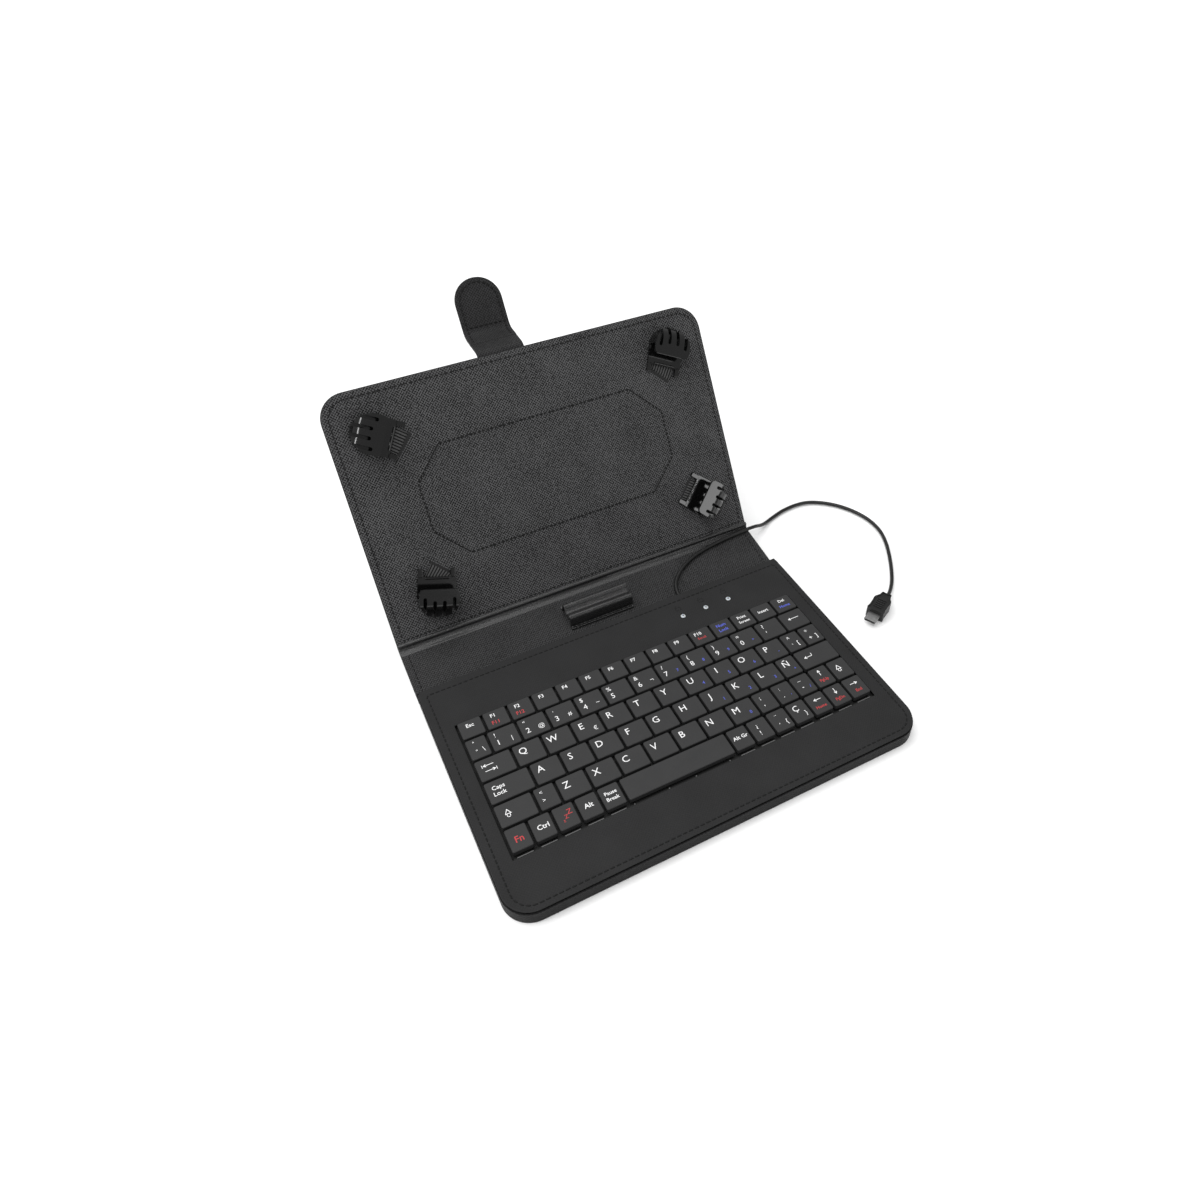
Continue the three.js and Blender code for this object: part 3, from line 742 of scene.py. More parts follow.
def make_plug():
    """The micro plug: a moulded grip with a sunken panel and ribs, and a steel shell with two catches."""
    sides = [(0, 2.8), (2.0, 3.2), (4.4, 4.7), (5.4, 5.1), (8.8, 4.85), (12.4, 4.8), (14.4, 5.2), (15.4, 4.9)]
    grip = begin("plane", "plug_grip", size=1, location=(-0.3 * MM, 0, -3.4 * MM),
                 scale=(0.6 * MM, 5.6 * MM, 1))
    shape()
    for (x0, w0), (x1, w1) in zip(sides, sides[1:]):
        pick("edges", lambda m, d, x=x0: abs(m.x - x) < 0.02 and abs(d.x) < 0.01)
        extrude("edges", x=x1 - x0)
        bpy.ops.transform.resize(value=(1, w1 / w0, 1))
    pick_all()
    extrude("region", z=6.8)
    pick("faces", lambda c, n: c.z > 3 and n.z > 0.9)
    bpy.ops.mesh.inset(thickness=0.9 * MM)
    done()
    turn_out(grip)
    shape()
    pick("faces", lambda c, n: c.z > 3 and n.z > 0.9 and abs(c.y) < 1.5 and 0.8 < c.x < 14.6)
    extrude("region", z=-0.45)
    done()
    turn_out(grip)
    ease_edges(grip, 0.5, 3, 30)
    ribs = []
    for x in (5.6, 7.2, 8.8, 10.4, 12.0):
        rib = block("grip_rib", (x - 0.35, -2.6, 2.7), (x + 0.35, 2.6, 3.45))
        ease_edges(rib, 0.2)
        ribs.append(rib)
    collar = begin("cylinder", "collar", vertices=24, radius=2.1 * MM, depth=2.4 * MM,
                   location=(-0.9 * MM, 0, 0), rotation=(0, math.pi / 2, 0))
    ease_edges(collar, 0.5, 2)
    grip = join([grip, collar, *ribs], "plug_grip")
    smooth(grip, 35)

    shell = block("plug_contact_shell", (14.6, -3.42, -0.9), (21.8, 3.42, 0.9))
    shape()
    pick("edges", lambda m, d: abs(d.x) > 1 and m.z < 0)
    bpy.ops.mesh.bevel(offset=0.8 * MM, segments=2, affect="EDGES")
    pick("faces", lambda c, n: n.x > 0.9)
    bpy.ops.mesh.inset(thickness=0.3 * MM)
    extrude("region", x=-5.5)
    done()
    tongue = block("tongue", (15.5, -2.0, -0.1), (21.3, 2.0, 0.35))
    ease_edges(tongue, 0.08)
    catches = []
    for y in (-2.2, 2.2):
        catch = block("catch", (18.0, y - 0.45, 0.75), (19.8, y + 0.45, 1.1))
        ease_edges(catch, 0.15)
        catches.append(catch)
    turn_out(shell)
    ease_edges(shell, 0.1, 2, 50)
    shell = join([shell, *catches], "plug_contact_shell")
    smooth(shell, 35)
    placed = Matrix.Translation(row(150.4, 15.1, 3.9)) @ Matrix.Rotation(math.radians(208), 4, "Z")
    for piece in (grip, shell, tongue):
        lay_out(piece)
        piece.data.transform(placed)
    return grip, shell, tongue


set_camera()
RUBBER = matt_plastic("satin_rubber", 0.006, 0.38)
BRIGHT_STEEL = steel("plug_steel", 0.32, 0.3)
BLACK_PLASTIC = matt_plastic("black_plastic", 0.004, 0.45)

cord, cord_line = make_cord()
plug_grip, plug_shell, plug_tongue = make_plug()
dress(plug_grip, RUBBER, "base", ("plug_body",))
dress(plug_shell, BRIGHT_STEEL, "base", ("plug_shell",))
dress(plug_tongue, BLACK_PLASTIC, "base")
dress(cord, RUBBER, None, ("cord",))
row(45.6, 70.5, 4)
row(45.6, 82.0, 4)
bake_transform(cord)

# ---- finishes ----

SMOOTH_LEATHER = leatherette("smooth_leatherette", 0.011, 0.024, 0.58, 0.2, 1.1, 0.05)
HATCHED_LEATHER = leatherette("hatched_leatherette", 0.002, 0.105, 0.42, 1.0, 1.2, 0.3)
OUTER_LEATHER = leatherette("outer_leatherette", 0.006, 0.034, 0.46, 0.8, 1.2, 0.15)
# A darker copy of the outer leatherette for the base's outer sheet: painted shade on its sides, which stand
# dark against the table.
SHADED_EDGE_LEATHER = leatherette("shaded_edge_leatherette", 0.001, 0.005, 0.5, 0.6, 1.2, 0.15)
SPINE_LEATHER = leatherette("spine_leatherette", 0.006, 0.048, 0.46, 0.85, 1.15, 0.2)
LIP_LEATHER = leatherette("lip_leatherette", 0.003, 0.022, 0.24, 0.6, 1.2, 0.12, 0.55)
THREAD = sewing_thread("black_thread")
KEY_PLASTIC = matt_plastic("key_plastic", 0.021, 0.55, 0.02)
DECK_PLASTIC = matt_plastic("deck_plastic", 0.003, 0.6)
TAB_PLASTIC = matt_plastic("spring_tab_plastic", 0.1, 0.4)
CLAW_PLASTIC = gloss_plastic("gloss_black_plastic", 0.0025)
ELASTIC = ribbed_cloth("corded_elastic", 0.035)
LENS = lamp_lens("lamp_lens")
WHITE_INK = ink("white_ink", (0.86, 0.86, 0.86, 1))
RED_INK = ink("red_ink", (0.5, 0.045, 0.05, 1))
BLUE_INK = ink("blue_ink", (0.1, 0.13, 0.62, 1))
MARK_INK = ink("pressed_mark", (0.002, 0.002, 0.002, 1))
GREYBOARD = board_stock("greyboard", (0.27, 0.23, 0.19, 1), 1.2)
FOAM = board_stock("foam_board", (0.06, 0.06, 0.06, 1), 3.0)
SILICONE = board_stock("silicone_sheet", (0.55, 0.55, 0.52, 1), 0.8)
CIRCUIT = board_stock("circuit_laminate", (0.02, 0.12, 0.05, 1), 0.5)
PLAIN_STEEL = steel("magnet_steel", 0.45, 0.35)


# ---- keyboard base ----

WINDOW = (-98.1, 98.5, -41.2, 39.9)  # left, right, front and rear
LAMPS_REAR, MARKS_REAR = 52.5, 59.2  # how far back the lamps and the pressed marks lie


def make_base_skin():
    """The outer sheet of the base: a floor with its edge turned up all round, ending in a soft lip."""
    skin = begin("plane", "base_skin", size=1, location=(0, (BASE_FRONT + BASE_REAR) / 2 * MM, 0),
                 scale=(2 * HALF * MM, (BASE_REAR - BASE_FRONT) * MM, 1))
    shape()
    for radius, side in ((CORNER, -1), (2.5, 1)):
        pick("verts", lambda v, s=side: v.y * s > 60 and abs(v.x) > HALF - 0.01)
        bpy.ops.mesh.bevel(offset=radius * MM, segments=12, affect="VERTICES")
    pick_all()
    extrude("region", z=7.7)
    done()
    turn_out(skin)
    shape()
    pick("faces", lambda c, n: n.z > 0.9 and c.z > 5)
    bpy.ops.mesh.inset(thickness=1.1 * MM)
    extrude("region", z=-6.8)
    done()
    turn_out(skin)
    ease_edges(skin, 0.45, 3)
    lay_out(skin)
    set_in(skin, TABLE)
    # Its leatherette is a darker copy of the outer one: painted shade on the base's sides.
    return dress(skin, SHADED_EDGE_LEATHER, "base", ("base_outer_skin",))


def make_base_leather():
    """The top sheet of the base with its keyboard window."""
    top = cut_sheet("base_leather", -HALF + 0.5, HALF - 0.5, BASE_FRONT + 0.5, BASE_REAR, (8.25, LEATHER_TOP),
                    (CORNER - 0.5, 2.5), 0.38, (), WINDOW)
    set_in(top, TABLE)
    dress(top, SMOOTH_LEATHER, "base", ("base_top_leather",))


def make_edge_groove_shade():
    """A black sheet under the rim of the top sheet: painted shade in the groove between the top sheet and the
    outer sheet.
    """
    groove_shade = cut_sheet("base_edge_groove_shade", -HALF + 1.3, HALF - 1.3, BASE_FRONT + 1.3, BASE_REAR - 0.6, (7.2, 8.3),
                     (CORNER - 1.3, 1.9), 0.2, (),
                      (WINDOW[0] - 3, WINDOW[1] + 3, WINDOW[2] - 2, WINDOW[3] + 2))
    groove_shade.data.transform(TABLE)
    dress(groove_shade, BLACK_PLASTIC, "base")


def make_lamps():
    """Three lamp lenses in thin rims, with a pressed lock mark behind each."""
    names = ("led_lens_num", "led_lens_caps", "led_lens_scroll")
    lens = begin("uv_sphere", "lens", segments=24, ring_count=12, radius=1.45 * MM)
    shape()
    pick_all()
    bpy.ops.transform.resize(value=(1, 1, 0.32))
    bpy.ops.mesh.bisect(plane_co=(0, 0, -0.05 * MM), plane_no=(0, 0, 1), clear_inner=True, use_fill=True)
    done()
    smooth(lens, 50)
    rim = begin("torus", "rim", major_segments=28, minor_segments=8, major_radius=1.62 * MM,
                minor_radius=0.22 * MM)
    smooth(rim, 60)
    core = begin("cylinder", "core", vertices=16, radius=0.5 * MM, depth=0.06 * MM,
                 location=(0, 0, 0.44 * MM))
    ease_edges(core, 0.02)
    for name, x in zip(names, (38.1, 52.6, 67.1)):
        placed = TABLE @ Matrix.Translation(Vector((x, LAMPS_REAR, LEATHER_TOP)) * MM)
        dress(copy_of(lens, name + "_dome", placed), LENS, "base", (name,))
        dress(copy_of(rim, name + "_rim", placed), BLACK_PLASTIC, "base")
        dress(copy_of(core, name + "_core", placed), TAB_PLASTIC, "base")
    discard(lens, rim, core)

    mark = block("lock_body", (-1.6, -1.9, -0.05), (1.6, 0.5, 0.05))
    shape()
    pick("faces", lambda c, n: n.z > 0.9)
    bpy.ops.mesh.inset(thickness=0.36 * MM)
    bpy.ops.mesh.delete(type="FACE")
    done()
    modify(mark, "SOLIDIFY", thickness=0.05 * MM, offset=-1)
    bow = begin("torus", "lock_bow", major_segments=20, minor_segments=4, major_radius=1.05 * MM,
                minor_radius=0.18 * MM, location=(0, 0.7 * MM, 0))
    shape()
    pick_all()
    bpy.ops.mesh.bisect(plane_co=(0, 0.5 * MM, 0), plane_no=(0, 1, 0), clear_inner=True, use_fill=True)
    pick_all()
    bpy.ops.transform.resize(value=(1, 1, 0.5))
    done()
    mark = join([mark, bow], "lock_mark")
    for k, x in enumerate((38.1, 52.6, 67.4)):
        placed = TABLE @ Matrix.Translation(Vector((x, MARKS_REAR, LEATHER_TOP)) * MM)
        dress(copy_of(mark, f"lock_mark_{k}", placed), MARK_INK, "base")
    discard(mark)


def make_spring_tabs():
    """Bright spring tabs on the deck in front of the last row of keys."""
    tab = block("spring_tab", (-3.9, -0.28, -0.5), (3.9, 0.28, 0.2))
    ease_edges(tab, 0.15)
    dot = begin("uv_sphere", "spring_dot", segments=10, ring_count=6, radius=0.42 * MM)
    made = []
    for key in KEYS:
        if key.row == 5 and key.width < 20:
            middle = key.left + key.width / 2
            made.append(copy_of(tab, "tab", Matrix.Translation(Vector((middle, -40.45, 8.0)) * MM)))
    for x in (-38, -19.9, -5.5, 13):
        made.append(copy_of(dot, "dot", Matrix.Translation(Vector((x, -40.45, 8.0)) * MM)))
    discard(tab, dot)
    tabs = join(made, "spring_tabs")
    set_in(tabs, TABLE)
    dress(tabs, TAB_PLASTIC, "base")
    ledge = block("spring_tab_ledge", (-97.6, -40.95, 6.2), (98.0, -39.95, 7.7))
    ease_edges(ledge, 0.15)
    ledge.data.transform(TABLE)
    dress(ledge, DECK_PLASTIC, "base")


# ---- keys ----

KEY_TOP, KEY_BOTTOM, KEY_GAP = 10.8, 7.9, 1.3
FIELD_LEFT, FIELD_REAR = -97.7, 39.6
ROW_DEPTH, PITCH = 13.47, 15.37
ROW_DEPTHS = [11.9] + [ROW_DEPTH] * 5
ROW_WIDTHS = (
    [13.05] * 15,
    [11.3] + [PITCH] * 12,
    [19.1] + [PITCH] * 10 + [11.47] * 2,
    [22.95] + [PITCH] * 9 + [11.5, 22.97],
    [19.3, 11.2] + [PITCH] * 7 + [11.53] * 5,
    [11.45] * 5 + [58.0] + [11.5] * 7,
)
KEY_BODIES = (
    ("key_esc", 0, 0, 0), ("keys_function_row", 0, 1, 14), ("keys_number_row", 1, 0, 11),
    ("key_backspace", 1, 12, 12), ("key_tab", 2, 0, 0), ("keys_upper_letters", 2, 1, 12),
    ("key_caps_lock", 3, 0, 0), ("keys_home_letters", 3, 1, 10), ("key_enter", 3, 11, 11),
    ("key_shift_left", 4, 0, 0), ("keys_lower_letters", 4, 1, 11), ("key_up", 4, 12, 12),
    ("key_shift_right", 4, 13, 13), ("key_fn", 5, 0, 0), ("keys_control_group", 5, 1, 4),
    ("key_space", 5, 5, 5), ("keys_symbol_group", 5, 6, 9), ("key_left", 5, 10, 10),
    ("key_down", 5, 11, 11), ("key_right", 5, 12, 12),
)
W, R, B = 0, 1, 2  # white, red and blue legends


class Key:
    def __init__(self, row_number, column, left, rear, width, depth):
        self.row, self.column, self.left, self.rear = row_number, column, left, rear
        self.width, self.depth = width, depth
        self.body = next(
            body for body, number, first, last in KEY_BODIES
            if number == row_number and first <= column <= last
        )


def key_grid():
    keys, rear = [], FIELD_REAR
    for number, (widths, depth) in enumerate(zip(ROW_WIDTHS, ROW_DEPTHS)):
        left = FIELD_LEFT
        for column, width in enumerate(widths):
            keys.append(Key(number, column, left, rear, width, depth))
            left += width
        rear -= depth
    return keys


KEYS = key_grid()


def make_keycaps():
    """One keycap with a soft rim, copied and drawn out to each key's size."""
    wide, deep = PITCH - KEY_GAP, ROW_DEPTH - KEY_GAP
    cap = block("keycap", (-wide / 2, -deep / 2, KEY_BOTTOM), (wide / 2, deep / 2, KEY_TOP))
    shape()
    pick("edges", lambda m, d: abs(d.z) > 1)
    bpy.ops.mesh.bevel(offset=0.9 * MM, segments=4, affect="EDGES")
    pick("faces", lambda c, n: n.z > 0.9)
    bpy.ops.mesh.inset(thickness=0.35 * MM)
    extrude("region", z=0.0)
    pick("verts", lambda v: v.z > KEY_TOP - 0.01
         and max(abs(v.x) - wide / 2, abs(v.y) - deep / 2) > -0.3)
    bpy.ops.transform.translate(value=(0, 0, -0.3 * MM))
    pick("edges", lambda m, d: m.z > KEY_TOP - 0.35 and abs(d.z) < 0.01)
    bpy.ops.mesh.bevel(offset=0.12 * MM, segments=2, affect="EDGES")
    done()
    turn_out(cap)
    smooth(cap, 50)
    for key in KEYS:
        made = copy_of(cap, f"keycap_{key.row}_{key.column:02d}")
        spread = Vector(((key.width - PITCH) / 2, (key.depth - ROW_DEPTH) / 2, 0)) * MM
        middle = TABLE @ (Vector((key.left + key.width / 2, key.rear - key.depth / 2, 0)) * MM)
        for vertex in made.data.vertices:
            vertex.co.x += (spread.x if vertex.co.x > 0 else -spread.x) + middle.x
            vertex.co.y += (spread.y if vertex.co.y > 0 else -spread.y) + middle.y
        dress(made, KEY_PLASTIC, key.body, (key.body,))
    discard(cap)


LETTER = 3.7
# Each legend: row, column, mark, place from the key's left and rear edges, height, colour.
LEGENDS = [(0, 0, "Esc", 6.3, 4.1, 2.2, W)]
LEGENDS += [(0, n, f"F{n}", 5.1, 3.8, 2.1, W) for n in range(1, 11)]
LEGENDS += [(0, 1, "F11", 5.3, 8.2, 2.1, R), (0, 2, "F12", 5.3, 8.2, 2.1, R)]
LEGENDS += [(0, 10, "Scroll", 5.9, 7.1, 1.5, R)]
LEGENDS += [(0, 11, "Num", 6.4, 3.9, 2.0, B), (0, 11, "Lock", 6.4, 7.4, 2.0, B)]
LEGENDS += [(0, 12, "Print", 6.5, 3.9, 1.9, W), (0, 12, "Screen", 6.5, 7.3, 1.7, W)]
LEGENDS += [(0, 13, "Insert", 6.5, 5.6, 1.9, W), (0, 14, "Del", 6.5, 3.6, 1.9, W)]
LEGENDS += [(0, 14, "Home", 6.5, 7.6, 1.8, B)]
NUMBER_ROW = ("1!|", '2"@', "3.#", "4$~", "5%", "6&¬", "7/", "8(", "9)", "0=")
for n, marks in enumerate(NUMBER_ROW, 1):
    LEGENDS += [(1, n, marks[1], 3.7, 3.8, 2.5, W), (1, n, marks[0], 4.1, 8.5, 3.1, W)]
    if len(marks) > 2:
        LEGENDS += [(1, n, marks[2], 11.0, 8.5, 2.4, W)]
LEGENDS += [(1, n, mark, 10.6, 8.9, 1.9, B) for n, mark in ((7, "7"), (8, "8"), (9, "9"), (10, "*"))]
LEGENDS += [(1, 0, "ª", 4.3, 3.4, 2.0, W), (1, 0, "º", 4.4, 8.6, 2.0, W), (1, 0, "\\", 7.9, 8.5, 2.8, W)]
LEGENDS += [(1, 11, "?", 4.4, 3.8, 2.8, W), (1, 11, "'", 4.4, 8.0, 2.8, W)]
for n, letter in enumerate("QWERTYUIOP", 1):
    LEGENDS += [(2, n, letter, 4.9, 5.0, LETTER, W)]
LEGENDS += [(2, 3, "€", 11.0, 8.9, 2.4, W)]
LEGENDS += [(2, n, mark, 10.6, 9.0, 1.9, B) for n, mark in ((7, "4"), (8, "5"), (9, "6"), (10, "-"))]
LEGENDS += [(2, 11, "^", 4.3, 3.6, 2.6, W), (2, 11, "`", 4.3, 8.4, 2.8, W), (2, 11, "[", 7.8, 8.6, 2.6, W)]
LEGENDS += [(2, 12, "*", 4.3, 3.6, 2.6, W), (2, 12, "+", 4.3, 8.8, 2.6, W), (2, 12, "]", 7.9, 8.6, 2.6, W)]
for n, letter in enumerate("ASDFGHJKLÑ", 1):
    LEGENDS += [(3, n, letter, 4.75, 4.9, LETTER, W)]
LEGENDS += [(3, 0, "Caps", 6.6, 4.8, 2.2, W), (3, 0, "Lock", 6.5, 8.2, 2.2, W)]
LEGENDS += [(3, n, mark, 11.0, 9.3, 1.9, B) for n, mark in ((7, "1"), (8, "2"), (9, "3"))]
LEGENDS += [(3, 10, "+", 7.9, 9.2, 1.6, B)]
for n, letter in enumerate("ZXCVBNM", 2):
    LEGENDS += [(4, n, letter, 4.6, 5.2, LETTER, W)]
LEGENDS += [(4, 1, "<", 3.6, 3.6, 2.0, W), (4, 1, ">", 3.6, 8.0, 2.0, W), (4, 8, "0", 11.1, 9.1, 1.9, B)]
LEGENDS += [(4, 9, ";", 3.9, 4.1, 2.4, W), (4, 9, ",", 3.9, 9.3, 2.8, W)]
LEGENDS += [(4, 10, ":", 4.1, 3.8, 2.2, W), (4, 10, ".", 4.1, 9.3, 2.8, W), (4, 10, ".", 8.3, 9.3, 2.6, B)]
LEGENDS += [(4, 11, "_", 4.6, 4.4, 2.6, W), (4, 11, "-", 4.5, 8.6, 2.8, W)]
LEGENDS += [(4, 11, "/", 8.4, 9.2, 1.9, B)]
LEGENDS += [(4, 12, "PgUp", 5.6, 9.1, 1.7, R)]
LEGENDS += [(5, 0, "Fn", 5.8, 7.2, 3.2, R), (5, 1, "Ctrl", 6.0, 6.6, 2.5, W), (5, 3, "Alt", 5.6, 6.3, 2.5, W)]
LEGENDS += [(5, 2, "z", 4.2, 8.6, 1.7, R), (5, 2, "Z", 5.8, 7.0, 2.1, R), (5, 2, "Z", 7.9, 5.0, 2.7, R)]
LEGENDS += [(5, 4, "Pause", 5.8, 4.9, 1.9, W), (5, 4, "Break", 5.8, 8.1, 1.9, W)]
LEGENDS += [(5, 6, "Alt Gr", 5.8, 6.3, 2.1, W)]
LEGENDS += [(5, 7, "¿", 4.6, 4.4, 2.5, W), (5, 7, "!", 4.6, 8.9, 2.5, W), (5, 8, "{", 8.4, 8.7, 2.5, W)]
LEGENDS += [(5, 8, "¨", 4.7, 3.4, 2.8, W), (5, 8, "´", 4.3, 8.6, 2.8, W)]
LEGENDS += [(5, 9, "Ç", 4.5, 4.6, 3.4, W), (5, 9, "}", 8.3, 8.7, 2.5, W)]
LEGENDS += [(5, 10, "Home", 5.8, 9.2, 1.7, R), (5, 11, "PgDn", 5.8, 9.2, 1.7, R)]
LEGENDS += [(5, 12, "End", 5.9, 9.2, 1.7, R)]
# Each arrow: row, column, middle from the key's left and rear edges, length, heading in degrees, kind.
ARROWS = [
    (1, 12, 7.6, 6.0, 6.6, 180, "plain"), (2, 0, 6.4, 4.8, 5.4, 180, "stopped"),
    (2, 0, 6.8, 8.0, 5.4, 0, "stopped"), (3, 11, 6.7, 6.2, 5.2, 180, "return"),
    (4, 0, 5.8, 6.6, 4.2, 90, "hollow"), (4, 13, 4.9, 6.5, 4.2, 90, "hollow"),
    (4, 12, 5.6, 4.3, 3.8, 90, "plain"), (5, 10, 6.0, 4.8, 4.4, 180, "plain"),
    (5, 11, 5.8, 4.5, 3.8, 270, "plain"), (5, 12, 5.8, 4.8, 4.4, 0, "plain"),
]
SMALL_MARKS = ".,'´¨_-`^~*+=¬"
CAPITAL = 0.7  # height of a capital in letters of size 1


def printed(mark, height, bold):
    """A printed mark as a thin flat solid, centred, with its capitals of the given height."""
    lines = bpy.data.curves.new("print", "FONT")
    lines.body = mark
    lines.resolution_u = 2
    lines.extrude = 0.012
    lines.offset = bold
    made = to_mesh(lines, "print")
    xs = [v.co.x for v in made.data.vertices]
    ys = [v.co.y for v in made.data.vertices]
    level = (max(ys) + min(ys)) / 2 if mark in SMALL_MARKS else CAPITAL / 2
    size = height / CAPITAL * MM
    middle = Vector(((max(xs) + min(xs)) / 2, level, 0))
    made.data.transform(Matrix.Diagonal((size, size, MM, 1)) @ Matrix.Translation(-middle))
    return made


def flat_bar(low, high):
    return block("bar", (*low, -0.012), (*high, 0.012))


def arrow(length, kind):
    """A printed arrow that points along x, centred."""
    half = length / 2
    if kind == "hollow":
        head = begin("circle", "head", vertices=3, radius=1.9 * MM, fill_type="NGON",
                     rotation=(0, 0, -math.pi / 2), location=(0.5 * MM, 0, -0.012 * MM))
        shape()
        pick_all()
        bpy.ops.mesh.inset(thickness=0.36 * MM)
        bpy.ops.mesh.delete(type="FACE")
        pick_all()
        extrude("region", z=0.024)
        done()
        turn_out(head)
        bars = [flat_bar((-half, 0.55), (-0.5, 0.9)), flat_bar((-half, -0.9), (-0.5, -0.55)),
                flat_bar((-half, -0.9), (-half + 0.35, 0.9))]
        return join([head, *bars], "arrow")
    head = begin("circle", "head", vertices=3, radius=1.05 * MM, fill_type="NGON",
                 rotation=(0, 0, -math.pi / 2), location=((half - 1.05) * MM, 0, -0.012 * MM))
    shape()
    pick_all()
    extrude("region", z=0.024)
    done()
    turn_out(head)
    bars = [flat_bar((-half, -0.17), (half - 1.2, 0.17))]
    if kind == "stopped":
        bars.append(flat_bar((half + 0.15, -0.9), (half + 0.45, 0.9)))
    if kind == "return":
        bars.append(flat_bar((-half, -1.7), (-half + 0.34, 0.17)))
    return join([head, *bars], "arrow")


def print_legends():
    """Prints the marks on the keys, one piece for each body and colour."""
    made = {}
    by_place = {(key.row, key.column): key for key in KEYS}

    def put(mark, row_number, column, right, down, heading, colour):
        key = by_place[(row_number, column)]
        spot = Vector((key.left + right, key.rear - down, KEY_TOP + 0.02)) * MM
        turned = Matrix.Rotation(math.radians(heading), 4, "Z")
        mark.data.transform(TABLE @ Matrix.Translation(spot) @ turned)
        made.setdefault((key.body, colour), []).append(mark)

    for row_number, column, mark, right, down, height, colour in LEGENDS:
        bold = 0.012 if len(mark) > 1 else 0.0
        put(printed(mark, height, bold), row_number, column, right, down, 0, colour)
    for row_number, column, right, down, length, heading, kind in ARROWS:
        put(arrow(length, kind), row_number, column, right, down, heading, W)
    for (body, colour), marks in made.items():
        name = body.replace("keys_", "").replace("key_", "") + ("_white", "_red", "_blue")[colour] + "_print"
        piece = join(marks, name)
        dress(piece, (WHITE_INK, RED_INK, BLUE_INK)[colour], body)


# ---- spine and folds ----


def make_spine():
    """The spine strip: lining from the base to the cover fold, outer sheet, and the sewn sides."""
    wall = [(69.3, 8.4), (69.3, 6.6), (69.3, 4.6)]
    lining_path = wall + turn((69.3, 4.4), (69.3, 2.45), on_spine(2.4, 0.0))[1:] + [on_spine(30.6, 0.0)]
    lining = bent_strip("spine_leather", -HALF, HALF, lining_path, 0.7, (0.8, 0.8), 0.2, -0.7, 0.9)
    set_in(lining, TABLE)
    dress(lining, SPINE_LEATHER, None, ("spine_lining",))
    row(0, 69.35, 2.5)
    row(0, 71.6, 2.5)
    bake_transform(lining)

    back_path = [(68.75, 0.02)] + turn((69.4, 0.02), (71.9, 0.0), on_spine(4.5, -2.9))
    back_path.append(on_spine(16.0, -2.9))
    back = bent_strip("spine_back", -HALF, HALF, back_path, 0.7, (0, 0), 0, 0, 0.9)
    set_in(back, TABLE)
    dress(back, OUTER_LEATHER, None, ("spine_outer_skin",))
    row(0, 68.75, 2.5)
    row(0, 72.6, 2.5)
    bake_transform(back)

    corner = (103.33, 4.94)
    fold_path = [on_spine(16.0, -2.9), on_spine(24, -2.9)]
    fold_path += turn(on_spine(29.5, -2.9), corner, on_cover(2.2, -4.1), 10)
    fold = bent_strip("fold_back", -HALF, HALF, fold_path, 0.7, (0, 0), 0, 0, 0.9)
    set_in(fold, TABLE)
    dress(fold, OUTER_LEATHER, None)
    row(0, *on_spine(29.0, -2.5))
    row(0, *on_cover(2.0, -3.6))
    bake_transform(fold)

    lip_points = [on_spine(28.6, -0.1), on_spine(29.4, 0.2), on_spine(30.3, 0.22), on_cover(0.7, 0.2),
                  on_cover(1.6, 0.1), on_cover(2.3, 0.15), on_cover(2.9, 0.6), on_cover(3.6, 0.85),
                  on_cover(4.3, 0.7), on_cover(4.8, 0.25), on_cover(5.0, -0.2)]
    lip = bent_strip("fold_lip", -HALF + 0.2, HALF - 0.2, soft_line(lip_points, 3), 0.5, (0.6, 0.6), 0.15,
                     -0.5, 0.4)
    set_in(lip, TABLE, 60)
    dress(lip, LIP_LEATHER, None)
    row(0, *on_spine(29.6, 0))
    row(0, *on_cover(1.6, 0))
    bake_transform(lip)

    sides = [[(x, 3.0), (x, 28.4)] for x in (-105.4, 105.4)]
    sew("spine_stitches", sides, 2.9, 0.06, (1.4, 0.75), "spine", SPINE)


# The pen loop's underside, along the spine and off it: two ridges with a valley between.
LOOP_UNDER = [(6.8, 0.3), (8.8, 0.3), (9.4, 3.2), (10.2, 6.2), (11.4, 7.1), (12.8, 5.9), (14.8, 4.3),
              (17.0, 5.0), (18.6, 7.0), (20.0, 6.4), (20.7, 3.2), (21.4, 0.3), (24.0, 0.3)]


def make_pen_loop():
    """The pen loop: a strip of leatherette raised over the spine, its two feet sewn flat."""
    path = soft_line([(along, off + 0.5) for along, off in LOOP_UNDER], 5)
    loop = bent_strip("pen_loop_strip", -19.2, 19.2, path, 0.95, (0.8, 0.8), 0.25, -0.45, 0.45)
    set_in(loop, SPINE, 60)
    dress(loop, LIP_LEATHER, "spine", ("pen_loop",))
    for k, along in enumerate((7.8, 22.8)):
        line = [(-18.2, along), (18.2, along)]
        sew(f"pen_loop_stitches_{k}", [line], 2.6, 1.35, (1.2, 0.75), "spine", SPINE)


# ---- cover ----


